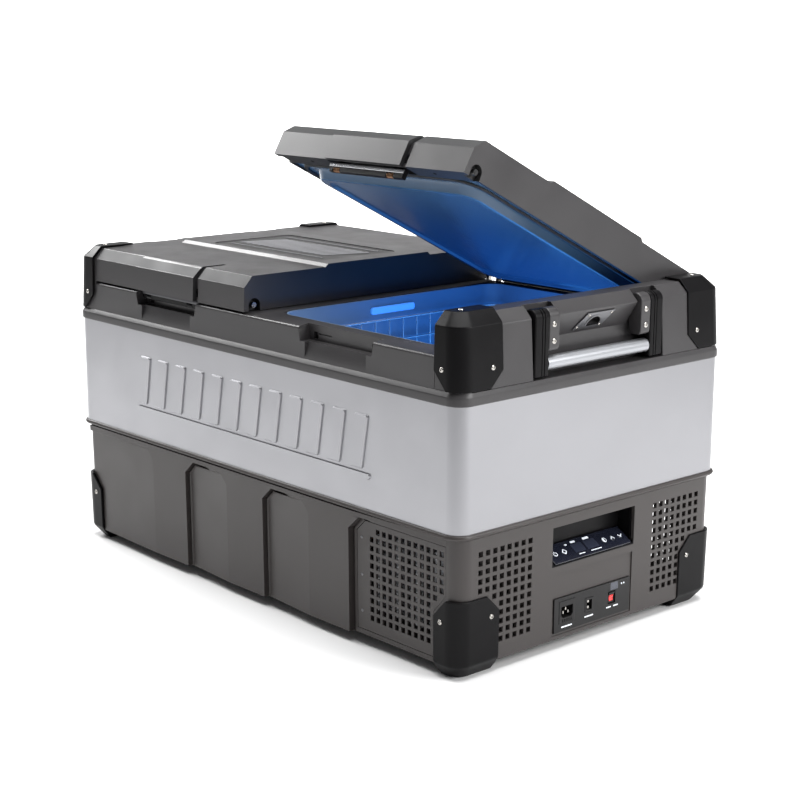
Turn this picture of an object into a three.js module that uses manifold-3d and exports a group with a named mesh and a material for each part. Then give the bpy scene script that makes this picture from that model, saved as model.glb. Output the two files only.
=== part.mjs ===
// Two-zone compressor cooler fridge.
// Frame: millimetres, +Z up, origin on the floor under the centre of the case.
// +X is the end with the controls, -Y is the long front side, +Y is the hinge side.

import * as THREE from 'three';
import { mergeVertices } from 'three/addons/utils/BufferGeometryUtils.js';
import Module from 'manifold-3d';

const wasm = await Module();
wasm.setup();

// ---------------------------------------------------------------- driving dimensions

const gap = 0.3; // clearance between pieces that touch
const beyond = 20; // how far a cutting tool runs past the wall it cuts
const outside = { x: 490, y: 300, top: 530 }; // past the whole object
const cornerSteps = 5; // facets on each rounded corner

const sleeve = { x: 465, y: 271.5, corner: 24, bottom: 205.3, top: 381, sheet: 1.5 };

const base = {
  bottom: 14, floor: 19, top: 205,
  low: { x: 462, y: 268.5 }, high: { x: 464.5, y: 271 }, corner: 23, wall: 6.5,
  trimBottom: 194, trimTop: 207, trimX: 468.5, trimY: 275,
};

const rim = {
  bottom: 381.3, flangeTop: 393.5, shoulder: 399, frontTop: 441, top: 446.5,
  flangeX: 467, flangeY: 273.5, frontY: 268.5, topY: 250, halfX: 414,
  rebateY: 238, rebateZ: 433,
};

const block = { inner: 414.3, bottom: 399.3, bevel: 483, top: 499 };

const compartment = { inner: 26, outer: 384, y: 222, corner: 30, wall: 2 };
const compartmentCentre = (compartment.inner + compartment.outer) / 2;
const compartmentHalf = (compartment.outer - compartment.inner) / 2;
const leftFloor = 62;
const rightFloor = 225;
const machineBayStart = 20;

const lid = {
  bottom: 447.5, bevel: 484, top: 500, plateau: 504.7,
  frontY: 267.5, barY: 236, endWall: 5, roof: 3.5,
  left: [-412.5, -3.5], right: [9, 412.5],
};
const pivot = { y: 248, z: 455 };
const openAngle = THREE.MathUtils.degToRad(26.6);

const fingerSlot = { before: 84, after: 80, back: 249, bottom: 423.5 };
const catchHole = { offsets: [-66, 62], half: 5, depth: 6, bottom: 426, top: 436 };
const latch = {
  half: 78, pivotY: -247, pivotZ: 459, front: -260, back: -250.5, bottom: 433.5, top: 446,
  shaftRadius: 3, shaftPast: 4, arms: [-62, 50], armWidth: 12,
};

const handle = {
  pivotX: 452.7, pivotZ: 482.5, topRadius: 12.3, back: 440.5, front: 464.6,
  armIn: 104, armOut: 131, strapIn: 84, armBottom: 401.5, strapBottom: 435,
  tubeRadius: 10, tubeX: 455, tubeZ: 418, pinRadius: 3,
};
const handRecess = { y: 134, back: 438, lip: 460.5, lipZ: 484, undercutZ: 449, arms: 82 };

const guardReach = { x: 416.5, endY: 190.5, wall: 3, bevelRun: 23.5, frontRise: 25, endRise: 23 };

const vent = { topRow: 174.5, rowPitch: 12.9, holeHalf: 4 };
const sideVent = { firstX: 283.8, pitch: 13.05, rows: [11, 11, 11, 11, 11, 11, 11, 11, 11, 11, 6, 5] };
const endVent = { firstY: 131, pitch: 13.6, rows: [11, 11, 11, 11, 11, 6, 5, 5] };
const grille = { back: 264.8, front: 268 };

const fascia = { y: 84, lowX: 464.2, lowZ: 125.3, highX: 432, highZ: 146, top: 183 };
const controlRecess = { y: 86, bottom: 125 };
const ports = { y: 80, bottom: 26, top: 77, back: 459.4, front: 462.4, socketBack: 440, socketDepth: 8 };
const basket = { x: 170, y: 213, corner: 26, wall: 3, lift: 6, top: 415 };
const light = { y: 45, bottom: 422, top: 433, depth: 4.5 };

// ---------------------------------------------------------------- materials

function material(colour, roughness, metalness) {
  return new THREE.MeshStandardMaterial({ color: colour, roughness, metalness });
}

const paint = {
  gunmetal: material('#5b5958', 0.55, 0.25),
  lowerPlastic: material('#4b4643', 0.7, 0.05),
  silver: material('#c3c4c9', 0.38, 0.85),
  guard: material('#201f21', 0.6, 0.0),
  aluminium: material('#c9ccd0', 0.3, 0.95),
  steel: material('#b9bbbf', 0.25, 1.0),
  foam: material('#d8cfa6', 0.95, 0.0),
  liner: material('#c9d6e2', 0.45, 0.0),
  rubber: material('#161617', 0.85, 0.0),
  panel: material('#17171c', 0.2, 0.0),
  icon: material('#2a2a30', 0.35, 0.0),
  red: material('#b3212a', 0.4, 0.0),
  wire: material('#d5dde6', 0.35, 0.2),
  lens: material('#8ecbff', 0.2, 0.0),
  machine: material('#1b1c1e', 0.45, 0.3),
  fins: material('#9ba0a5', 0.5, 0.9),
  copper: material('#b06a3c', 0.35, 1.0),
  board: material('#1f5a37', 0.6, 0.0),
};

// ---------------------------------------------------------------- solids and cuts

function toSolid(geometry) {
  const plain = geometry.clone();
  plain.deleteAttribute('normal');
  plain.deleteAttribute('uv');
  const merged = mergeVertices(plain);
  return new wasm.Manifold(new wasm.Mesh({
    numProp: 3,
    vertProperties: Float32Array.from(merged.attributes.position.array),
    triVerts: Uint32Array.from(merged.index.array),
  }));
}

function toGeometry(solid) {
  const mesh = solid.getMesh();
  const geometry = new THREE.BufferGeometry();
  geometry.setAttribute('position', new THREE.Float32BufferAttribute(mesh.vertProperties, 3));
  geometry.setIndex(Array.from(mesh.triVerts));
  geometry.computeVertexNormals();
  return geometry;
}

function join(...solids) {
  return solids.reduce((whole, piece) => whole.add(piece));
}

function cut(solid, ...tools) {
  return tools.reduce((rest, tool) => rest.subtract(tool), solid);
}

function box(x0, x1, y0, y1, z0, z1) {
  const geometry = new THREE.BoxGeometry(Math.abs(x1 - x0), Math.abs(y1 - y0), Math.abs(z1 - z0));
  geometry.translate((x0 + x1) / 2, (y0 + y1) / 2, (z0 + z1) / 2);
  return toSolid(geometry);
}

function polygon(points) {
  return new THREE.Shape(points.map(([u, v]) => new THREE.Vector2(u, v)));
}

// Local axes of a drawn outline: u, v and the direction it is extruded in.
const planes = {
  x: new THREE.Matrix4().makeBasis(
    new THREE.Vector3(0, 1, 0), new THREE.Vector3(0, 0, 1), new THREE.Vector3(1, 0, 0)),
  y: new THREE.Matrix4().makeBasis(
    new THREE.Vector3(1, 0, 0), new THREE.Vector3(0, 0, 1), new THREE.Vector3(0, -1, 0)),
  z: new THREE.Matrix4(),
};

// Extrudes an outline along an axis: YZ outlines along x, XZ outlines along y, XY along z.
function prism(shape, axis, from, to) {
  const low = Math.min(from, to);
  const high = Math.max(from, to);
  const geometry = new THREE.ExtrudeGeometry(shape, {
    depth: high - low, bevelEnabled: false, curveSegments: 6,
  });
  geometry.applyMatrix4(planes[axis]);
  const start = { x: [low, 0, 0], y: [0, high, 0], z: [0, 0, low] }[axis];
  geometry.translate(...start);
  return toSolid(geometry);
}

function rod(axis, radius, from, to, centre, sides = 20) {
  const geometry = new THREE.CylinderGeometry(radius, radius, Math.abs(to - from), sides);
  const middle = (from + to) / 2;
  if (axis === 'x') {
    geometry.rotateZ(-Math.PI / 2).translate(middle, centre[0], centre[1]);
  } else if (axis === 'y') {
    geometry.translate(centre[0], middle, centre[1]);
  } else {
    geometry.rotateX(Math.PI / 2).translate(centre[0], centre[1], middle);
  }
  return toSolid(geometry);
}

// Points round a rectangle with rounded corners, centred at cx.
function roundedRing({ x, y, r, cx = 0 }) {
  const ring = [];
  for (let corner = 0; corner < 4; corner += 1) {
    const signX = corner === 0 || corner === 3 ? 1 : -1;
    const signY = corner < 2 ? 1 : -1;
    for (let step = 0; step <= cornerSteps; step += 1) {
      const angle = (corner + step / cornerSteps) * (Math.PI / 2);
      ring.push([
        cx + signX * (x - r) + r * Math.cos(angle),
        signY * (y - r) + r * Math.sin(angle),
      ]);
    }
  }
  return ring;
}

// A closed solid through rounded rectangles stacked at rising heights.
function loft(levels) {
  const rings = levels.map((level) => roundedRing(level));
  const count = rings[0].length;
  const positions = rings.flatMap((ring, k) => ring.flatMap(([x, y]) => [x, y, levels[k].z]));
  const index = [];
  for (let k = 0; k + 1 < rings.length; k += 1) {
    for (let i = 0; i < count; i += 1) {
      const next = (i + 1) % count;
      const a = k * count + i;
      const b = k * count + next;
      index.push(a, b, b + count, a, b + count, a + count);
    }
  }
  const last = (rings.length - 1) * count;
  for (let i = 1; i + 1 < count; i += 1) {
    index.push(0, i + 1, i);
    index.push(last, last + i, last + i + 1);
  }
  const geometry = new THREE.BufferGeometry();
  geometry.setAttribute('position', new THREE.Float32BufferAttribute(positions, 3));
  geometry.setIndex(index);
  return toSolid(geometry);
}

function shrink(levels, by) {
  return levels.map(({ z, x, y, r, drop = 0 }) => ({ z: z - drop * by, x: x - by, y: y - by, r: r - by }));
}

// ---------------------------------------------------------------- scene graph helpers

const fridge = new THREE.Group();

function add(parent, name, solid, look) {
  const mesh = new THREE.Mesh(toGeometry(solid), look);
  mesh.name = name;
  parent.add(mesh);
  return mesh;
}

// ---------------------------------------------------------------- corner guards

// The corner of the case that one guard covers, with its two bevelled points.
function guardRegion(signX, signY, farZ, edgeZ, clearance) {
  const outward = Math.sign(edgeZ - farZ);
  const edge = edgeZ + outward * clearance;
  const outline = (sign, inner, outer, rise) => polygon([
    [sign * inner, farZ], [sign * outer, farZ], [sign * outer, edge],
    [sign * (inner + guardReach.bevelRun), edge], [sign * inner, edge - outward * rise],
  ]);
  const front = outline(signX, guardReach.x - clearance, outside.x, guardReach.frontRise);
  const end = outline(signY, guardReach.endY - clearance, outside.y, guardReach.endRise);
  return prism(front, 'y', -outside.y, outside.y).intersect(prism(end, 'x', -outside.x, outside.x));
}

const lowerGuardLevels = [
  { z: 0, x: 448, y: 254.5, r: 20 },
  { z: 21, x: 463.3, y: 269.8, r: 25 },
  { z: 116, x: 464.8, y: 271.3, r: 25 },
];
const lowerInnerLevels = [
  { z: base.bottom - gap, x: 452, y: 258.5, r: 16 },
  { z: 25, x: 459.3, y: 265.8, r: 20 },
  { z: 120, x: 460.9, y: 267.4, r: 20 },
];
const lowerGuardTop = 113;

const upperGuardLevels = [
  { z: 399, x: 466.5, y: 273, r: 26 },
  { z: 486, x: 462, y: 270.5, r: 26 },
  { z: 503.5, x: 444.5, y: 252.5, r: 16, drop: 1 },
];
const upperGuardBottom = 400;

function lowerGuard(signX, signY) {
  const shell = cut(loft(lowerGuardLevels), loft(lowerInnerLevels));
  return shell.intersect(guardRegion(signX, signY, -beyond, lowerGuardTop, 0));
}

function upperGuard(signX, signY) {
  const inner = shrink(upperGuardLevels, guardReach.wall);
  inner[0].z -= 1;
  const shell = cut(loft(upperGuardLevels), loft(inner));
  return shell.intersect(guardRegion(signX, signY, outside.top, upperGuardBottom, 0));
}

function guardSeat(signX, signY, levels, farZ, edgeZ) {
  return cut(guardRegion(signX, signY, farZ, edgeZ, gap), loft(levels));
}

const corners = [
  ['front_right', 1, -1], ['rear_right', 1, 1], ['front_left', -1, -1], ['rear_left', -1, 1],
];

// ---------------------------------------------------------------- base with vents

// Lowest and highest point of a column of vent holes that hangs down from the top row.
function columnSpan(rows) {
  const lowestRow = vent.topRow - (rows - 1) * vent.rowPitch;
  return [lowestRow - vent.holeHalf, vent.topRow + vent.holeHalf];
}

function endVentSlots(side) {
  return endVent.rows.map((rows, column) => {
    const y = side * (endVent.firstY + column * endVent.pitch);
    const wall = [base.low.x - base.wall - beyond, base.high.x + beyond];
    return box(...wall, y - vent.holeHalf, y + vent.holeHalf, ...columnSpan(rows));
  });
}

const grilleOutline = [
  [254, 36], [411, 36], [411, 91], [434, 116], [439, 116], [439, 184], [268, 184], [254, 168],
];

function insetOutline(points, by) {
  const middleX = points.reduce((sum, p) => sum + p[0], 0) / points.length;
  const middleZ = points.reduce((sum, p) => sum + p[1], 0) / points.length;
  return points.map(([x, z]) => [x - Math.sign(x - middleX) * by, z - Math.sign(z - middleZ) * by]);
}

function grillePlate(side) {
  const slots = sideVent.rows.map((rows, column) => {
    const x = sideVent.firstX + column * sideVent.pitch;
    const depth = [side * (grille.back - beyond), side * (grille.front + beyond)];
    return box(x - vent.holeHalf, x + vent.holeHalf, ...depth, ...columnSpan(rows));
  });
  const outline = polygon(insetOutline(grilleOutline, gap));
  return cut(prism(outline, 'y', side * grille.back, side * grille.front), ...slots);
}

const machineCavity = [
  { z: base.floor, x: 445, y: 251.5, r: 14 },
  { z: base.floor + 12, x: base.low.x - base.wall, y: base.low.y - base.wall, r: 17 },
  { z: base.trimTop + beyond, x: 457.6, y: 264.1, r: 17 },
];

function baseShell() {
  const wall = loft([
    { z: base.bottom, ...base.low, r: base.corner },
    { z: base.trimBottom + 1, ...base.high, r: base.corner },
  ]);
  const trim = loft([
    { z: base.trimBottom - 4, x: base.high.x - 1, y: base.high.y - 1, r: base.corner },
    { z: base.trimBottom, x: base.trimX, y: base.trimY, r: 26 },
    { z: base.trimTop, x: base.trimX, y: base.trimY, r: 26 },
  ]);
  const sleeveSeat = loft([
    { z: base.top, x: sleeve.x + gap, y: sleeve.y + gap, r: sleeve.corner + gap },
    { z: base.trimTop + beyond, x: sleeve.x + gap, y: sleeve.y + gap, r: sleeve.corner + gap },
  ]);
  const seats = corners.map(([, signX, signY]) => guardSeat(
    signX, signY, shrink(lowerInnerLevels, gap), -beyond, lowerGuardTop));
  const endWall = [base.low.x - beyond, outside.x];
  const windows = [
    prism(polygon(grilleOutline), 'y', -outside.y, -grille.back + beyond),
    prism(polygon(grilleOutline), 'y', grille.back - beyond, outside.y),
    box(...endWall, -controlRecess.y, controlRecess.y, controlRecess.bottom, fascia.top),
    box(...endWall, -ports.y - gap, ports.y + gap, ports.bottom - gap, ports.top + gap),
  ];
  const vents = [...endVentSlots(-1), ...endVentSlots(1)];
  return cut(join(wall, trim), sleeveSeat, loft(machineCavity), ...seats, ...windows, ...vents);
}

function buildBase() {
  add(fridge, 'base_shell', baseShell(), paint.lowerPlastic);
  add(fridge, 'front_grille', grillePlate(-1), paint.lowerPlastic);
  add(fridge, 'rear_grille', grillePlate(1), paint.lowerPlastic);
  for (const [name, signX, signY] of corners) {
    add(fridge, `lower_guard_${name}`, lowerGuard(signX, signY), paint.guard);
    add(fridge, `upper_guard_${name}`, upperGuard(signX, signY), paint.guard);
  }
}

// ---------------------------------------------------------------- case, foam and liners

function tub(centre, grow, floor, top) {
  return loft([floor, top].map((z) => ({
    z, cx: centre, x: compartmentHalf + grow, y: compartment.y + grow, r: compartment.corner + grow,
  })));
}

const tubs = [
  { side: 'left', centre: -compartmentCentre, floor: leftFloor },
  { side: 'right', centre: compartmentCentre, floor: rightFloor },
];

function compartmentPockets() {
  const grow = compartment.wall + gap;
  return tubs.map(({ centre, floor }) => tub(centre, grow, floor - grow, rim.top + beyond));
}

const foamFoot = [
  { z: base.floor + 1, x: 441, y: 247.5, r: 14 },
  { z: base.floor + 13, x: 452, y: 258, r: 18 },
  { z: base.trimTop + 1, x: 452, y: 258, r: 18 },
];

function buildCase() {
  const ring = (inset) => [sleeve.bottom, sleeve.top].map((z) => ({
    z, x: sleeve.x - inset, y: sleeve.y - inset, r: sleeve.corner - inset,
  }));
  const bore = ring(sleeve.sheet);
  bore[0].z -= beyond;
  bore[1].z += beyond;
  add(fridge, 'sleeve', cut(loft(ring(0)), loft(bore)), paint.silver);

  const inset = sleeve.sheet + gap;
  const upper = loft([base.trimTop, rim.bottom - 2 * gap].map((z) => ({
    z, x: sleeve.x - inset, y: sleeve.y - inset, r: sleeve.corner - inset,
  })));
  const overLeftBay = box(-outside.x, machineBayStart, -outside.y, outside.y, 0, sleeve.top);
  const lower = loft(foamFoot).intersect(overLeftBay);
  add(fridge, 'insulation_foam', cut(join(upper, lower), ...compartmentPockets()), paint.foam);

  for (const { side, centre, floor } of tubs) {
    const shell = tub(centre, compartment.wall, floor - compartment.wall, rim.top - 1);
    const hollow = tub(centre, 0, floor, rim.top + beyond);
    add(fridge, `liner_${side}`, cut(shell, hollow), paint.liner);
  }
}

// ---------------------------------------------------------------- upper rim and end blocks

function lidCentre(span) {
  return (span[0] + span[1]) / 2;
}

function upperRim() {
  const flange = loft([
    { z: rim.bottom, x: rim.flangeX, y: rim.flangeY, r: 25 },
    { z: rim.flangeTop, x: rim.flangeX, y: rim.flangeY, r: 25 },
    { z: rim.shoulder, x: 465.3, y: rim.frontY + 0.3, r: 23 },
  ]);
  const ridge = prism(polygon([
    [-rim.frontY, rim.shoulder - 1], [-lid.frontY, rim.frontTop], [-262, 445], [-rim.topY, rim.top],
    [rim.rebateY, rim.top], [rim.rebateY, rim.rebateZ], [lid.frontY, rim.rebateZ],
    [rim.frontY, rim.shoulder - 1],
  ]), 'x', -rim.halfX, rim.halfX);
  const cuts = compartmentPockets();
  for (const span of [lid.left, lid.right]) {
    const centre = lidCentre(span);
    cuts.push(box(centre - fingerSlot.before, centre + fingerSlot.after,
      -outside.y, -fingerSlot.back, fingerSlot.bottom, rim.top + beyond));
    for (const x of catchHole.offsets.map((offset) => centre + offset)) {
      cuts.push(box(x - catchHole.half, x + catchHole.half,
        -fingerSlot.back - 1, -fingerSlot.back + catchHole.depth, catchHole.bottom, catchHole.top));
    }
  }
  return cut(join(flange, ridge), ...cuts);
}

function endBlock(extraCuts) {
  const outer = loft([
    { z: block.bottom, x: 465, y: rim.frontY, r: 23 },
    { z: block.bevel, x: 459.8, y: 265.5, r: 23 },
    { z: block.top, x: 444, y: 250, r: 14 },
  ]);
  const low = block.bottom - beyond;
  const body = outer.intersect(
    box(block.inner, outside.x, -outside.y, outside.y, low, outside.top));
  const inner = shrink(upperGuardLevels, guardReach.wall + gap);
  inner[0].z -= 1;
  const seats = [-1, 1].map((signY) => guardSeat(1, signY, inner, outside.top, upperGuardBottom));
  const undercut = prism(polygon([
    [outside.x, handRecess.lipZ + 12], [outside.x, low], [handRecess.back, low],
    [handRecess.back, handRecess.undercutZ], [handRecess.lip, handRecess.lipZ],
  ]), 'y', -handRecess.arms, handRecess.arms);
  const slots = [-1, 1].map((side) => box(handRecess.back, outside.x,
    side * (handRecess.arms - 1), side * handRecess.y, low, outside.top));
  const bores = [-1, 1].map((side) => rod('y', handle.pinRadius + gap,
    side * (handRecess.y - 1), side * (handRecess.y + 7), [handle.pivotX, handle.pivotZ], 12));
  return cut(body, ...seats, undercut, ...slots, ...bores, ...extraCuts);
}

// ---------------------------------------------------------------- bail handles

function handleProfile(bottom, radius) {
  const shape = new THREE.Shape();
  shape.moveTo(handle.back, bottom);
  shape.lineTo(handle.front, bottom);
  shape.lineTo(handle.pivotX + radius, handle.pivotZ);
  shape.absarc(handle.pivotX, handle.pivotZ, radius, 0, Math.PI, false);
  shape.lineTo(handle.back, bottom);
  return shape;
}

function buildHandle(end, side, frontSign) {
  const arm = handleProfile(handle.armBottom, handle.topRadius);
  const strap = handleProfile(handle.strapBottom, handle.topRadius);
  const reach = handle.armIn - gap;
  add(end, `handle_${side}_tube`,
    rod('y', handle.tubeRadius, -reach, reach, [handle.tubeX, handle.tubeZ], 24), paint.aluminium);
  for (const [name, sign] of [['front', frontSign], ['rear', -frontSign]]) {
    const pin = rod('y', handle.pinRadius, sign * (handle.armOut - 1), sign * (handRecess.y + 6),
      [handle.pivotX, handle.pivotZ], 12);
    const lever = join(prism(arm, 'y', sign * handle.armIn, sign * handle.armOut), pin);
    add(end, `handle_${side}_arm_${name}`, lever, paint.guard);
    add(end, `handle_${side}_strap_${name}`,
      prism(strap, 'y', sign * handle.strapIn, sign * reach), paint.gunmetal);
  }
}

const opener = {
  outline: [[-36, -14], [20, -14], [36, 14], [-20, 14]], thickness: 2,
  mouthU: -1, mouthV: -6, mouthFoot: -8, mouthRadius: 13, pocketRadius: 14, pocketDepth: 12,
};

// The arched mouth that catches a cap, drawn on the inclined face under the grip.
function openerMouth(radius) {
  const mouth = new THREE.Shape();
  mouth.moveTo(opener.mouthU + radius, opener.mouthFoot);
  mouth.absarc(opener.mouthU, opener.mouthV, radius, 0, Math.PI, false);
  mouth.lineTo(opener.mouthU - radius, opener.mouthFoot);
  mouth.closePath();
  return mouth;
}

function bottleOpener() {
  const plate = prism(polygon(opener.outline), 'z', 0, opener.thickness);
  return cut(plate, prism(openerMouth(opener.mouthRadius), 'z', -beyond, beyond));
}

// Room behind the mouth for the cap, moved from the slope's own axes into the case.
function openerPocket(face) {
  const pocket = toGeometry(prism(openerMouth(opener.pocketRadius), 'z', -opener.pocketDepth, beyond));
  face.updateMatrix();
  return toSolid(pocket.applyMatrix4(face.matrix));
}

// Group whose X runs along the case's Y, and whose Y climbs a sloping face from low to high.
function slopeGroup(low, high, lift) {
  const along = new THREE.Vector3(high[0] - low[0], 0, high[1] - low[1]).normalize();
  const across = new THREE.Vector3(0, 1, 0);
  const normal = new THREE.Vector3().crossVectors(across, along);
  const group = new THREE.Group();
  group.quaternion.setFromRotationMatrix(new THREE.Matrix4().makeBasis(across, along, normal));
  group.position.set((low[0] + high[0]) / 2, 0, (low[1] + high[1]) / 2);
  group.position.addScaledVector(normal, lift);
  return group;
}

function buildUpperFrame() {
  add(fridge, 'upper_rim', upperRim(), paint.gunmetal);
  const face = slopeGroup(
    [handRecess.back, handRecess.undercutZ], [handRecess.lip, handRecess.lipZ], gap);
  fridge.add(face);
  add(face, 'bottle_opener', bottleOpener(), paint.steel);
  const ends = [
    { side: 'right', turn: 0, frontSign: -1, cuts: [openerPocket(face)] },
    { side: 'left', turn: Math.PI, frontSign: 1, cuts: [] },
  ];
  for (const { side, turn, frontSign, cuts } of ends) {
    const end = new THREE.Group();
    end.rotation.z = turn;
    fridge.add(end);
    add(end, `end_block_${side}`, endBlock(cuts), paint.gunmetal);
    buildHandle(end, side, frontSign);
  }
}

// ---------------------------------------------------------------- lids

const lidProfile = [
  [-lid.frontY, lid.bottom], [-265.5, lid.bevel], [-250, lid.top], [-110, lid.top],
  [-105, lid.plateau], [103, lid.plateau], [108, lid.top], [250, lid.top],
  [263.5, lid.bevel], [lid.frontY, lid.bottom],
];
const latchPocket = { half: 84, frontY: -263.5, top: 467 };
const channelRadius = 4.8;
const endNotch = { depth: 10, centreY: -247.5, top: 456, radius: 10.5, hingeClear: 11, hingeTop: 467 };

// Openings at both ends of a lid: an arched notch over the side pin, and room for the hinge.
function lidNotches([x0, x1]) {
  const low = lid.bottom - beyond;
  const { depth, centreY, top, radius, hingeClear, hingeTop } = endNotch;
  return [[x0 - 1, x0 + depth], [x1 - depth, x1 + 1]].flatMap(([from, to]) => [
    box(from, to, centreY - radius, centreY + radius, low, top),
    rod('x', radius, from, to, [centreY, top], 16),
    box(from, to, pivot.y - hingeClear, outside.y, low, hingeTop),
  ]);
}

function lidShell(span) {
  const [x0, x1] = span;
  const centre = lidCentre(span);
  const low = lid.bottom - beyond;
  const shell = prism(polygon(lidProfile), 'x', x0, x1);
  const pocket = box(
    x0 + lid.endWall, x1 - lid.endWall, -lid.barY, lid.barY, low, lid.top - lid.roof);
  const latchRoom = box(centre - latchPocket.half, centre + latchPocket.half,
    latchPocket.frontY, -lid.barY - 2, low, latchPocket.top);
  const rodChannel = join(
    rod('x', channelRadius, x0 - 1, x1 + 1, [pivot.y, pivot.z], 16),
    box(x0 - 1, x1 + 1, pivot.y - channelRadius, pivot.y + channelRadius, low, pivot.z));
  return cut(shell, pocket, latchRoom, rodChannel, ...lidNotches(span));
}

function lidLiner([x0, x1], compartmentX) {
  const plate = box(x0 + lid.endWall + gap, x1 - lid.endWall - gap,
    -lid.barY + gap, lid.barY - gap, 450, 453);
  const plug = loft([
    { z: 437, cx: compartmentX, x: 168, y: 207, r: 26 },
    { z: 451, cx: compartmentX, x: 173, y: 212, r: 30 },
  ]);
  const hollow = loft([
    { z: 440, cx: compartmentX, x: 165, y: 204, r: 24 },
    { z: 460, cx: compartmentX, x: 169, y: 208, r: 26 },
  ]);
  return cut(join(plate, plug), hollow);
}

function lidGasket(compartmentX) {
  const ring = (x, y, r, from, to) => loft([from, to].map((z) => ({ z, cx: compartmentX, x, y, r })));
  return cut(ring(189, 234, 40, 446.9, 449.7), ring(182, 226, 33, 440, 460));
}

function latchBar(centre) {
  const bar = box(centre - latch.half, centre + latch.half,
    latch.front, latch.back, latch.bottom, latch.top);
  const reach = latch.half + latch.shaftPast;
  const radius = latch.shaftRadius;
  const shaft = rod('x', radius, centre - reach, centre + reach, [latch.pivotY, latch.pivotZ], 12);
  const arms = latch.arms.map((offset) => prism(polygon([
    [latch.front, latch.top - 2], [latch.back, latch.top - 2],
    [latch.pivotY + radius, latch.pivotZ], [latch.pivotY - radius, latch.pivotZ + 1],
  ]), 'x', centre + offset, centre + offset + latch.armWidth));
  return join(bar, shaft, ...arms);
}

const hinge = { radius: 4.5, footWidth: 6, footHalf: 3.5, footInset: 2, endInset: 1 };

function hingeRod([x0, x1]) {
  const footStarts = [x0 + hinge.footInset, x1 - hinge.footInset - hinge.footWidth];
  const feet = footStarts.map((x) => box(x, x + hinge.footWidth,
    pivot.y - hinge.footHalf, pivot.y + hinge.footHalf, rim.rebateZ + gap, pivot.z));
  const barrel = rod(
    'x', hinge.radius, x0 + hinge.endInset, x1 - hinge.endInset, [pivot.y, pivot.z], 16);
  return join(barrel, ...feet);
}

function buildLid(side, span, compartmentX, angle) {
  add(fridge, `hinge_rod_${side}`, hingeRod(span), paint.steel);
  const swing = new THREE.Group();
  swing.position.set(0, pivot.y, pivot.z);
  swing.rotation.x = -angle;
  fridge.add(swing);
  const closed = new THREE.Group();
  closed.position.set(0, -pivot.y, -pivot.z);
  swing.add(closed);
  add(closed, `lid_shell_${side}`, lidShell(span), paint.gunmetal);
  add(closed, `lid_liner_${side}`, lidLiner(span, compartmentX), paint.liner);
  add(closed, `lid_gasket_${side}`, lidGasket(compartmentX), paint.rubber);
  add(closed, `latch_bar_${side}`, latchBar(lidCentre(span)), paint.aluminium);
}

// ---------------------------------------------------------------- baskets and lights

function buildInside() {
  for (const { side, centre, floor } of tubs) {
    const tray = (inset, from, to) => loft([from, to].map((z) => ({
      z, cx: centre, x: basket.x - inset, y: basket.y - inset, r: basket.corner - inset,
    })));
    const bottom = floor + basket.lift;
    const shell = cut(
      tray(0, bottom, basket.top), tray(basket.wall, bottom + basket.wall, basket.top + beyond));
    add(fridge, `basket_${side}`, shell, paint.wire);
    const sign = Math.sign(centre);
    const wallX = compartment.inner + gap;
    const lens = box(sign * wallX, sign * (wallX + light.depth),
      -light.y, light.y, light.bottom, light.top);
    add(fridge, `led_light_${side}`, lens, paint.lens);
  }
}

// ---------------------------------------------------------------- controls and sockets

const buttonPlaces = {
  power: -67, set: -48.5, mode: 35.5, up: 52.5, down: 69.5,
};
const buttonRadius = 5;

const housing = { back: 424, front: 456, y: 90, bottom: 112, top: 191 };
const sill = { back: 450, front: 463.6, top: 131 };

function controlHousing() {
  const slope = (fascia.lowZ - fascia.highZ) / (fascia.lowX - fascia.highX);
  const opening = prism(polygon([
    [outside.x, fascia.lowZ + slope * (outside.x - fascia.lowX)], [fascia.highX, fascia.highZ],
    [fascia.highX, fascia.top], [outside.x, fascia.top],
  ]), 'y', -fascia.y, fascia.y);
  const shell = box(
    housing.back, housing.front, -housing.y, housing.y, housing.bottom, housing.top);
  const sillY = controlRecess.y - gap;
  const shelf = box(sill.back, sill.front, -sillY, sillY, fascia.lowZ, sill.top);
  return cut(join(shell, shelf), opening);
}

function buildControls() {
  add(fridge, 'control_housing', controlHousing(), paint.guard);
  const face = slopeGroup([fascia.lowX, fascia.lowZ], [fascia.highX, fascia.highZ], gap);
  fridge.add(face);
  const shape = polygon([[-80, -16], [80, -16], [80, 17], [-80, 17]]);
  for (const place of Object.values(buttonPlaces)) {
    const hole = new THREE.Path();
    hole.absarc(place, 0, buttonRadius + gap, 0, Math.PI * 2, true);
    shape.holes.push(hole);
  }
  add(face, 'control_panel', prism(shape, 'z', 0, 2.6), paint.panel);
  for (const [name, place] of Object.entries(buttonPlaces)) {
    add(face, `button_${name}`, rod('z', buttonRadius, 1.3, 3.1, [place, 0], 16), paint.icon);
  }
}

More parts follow.
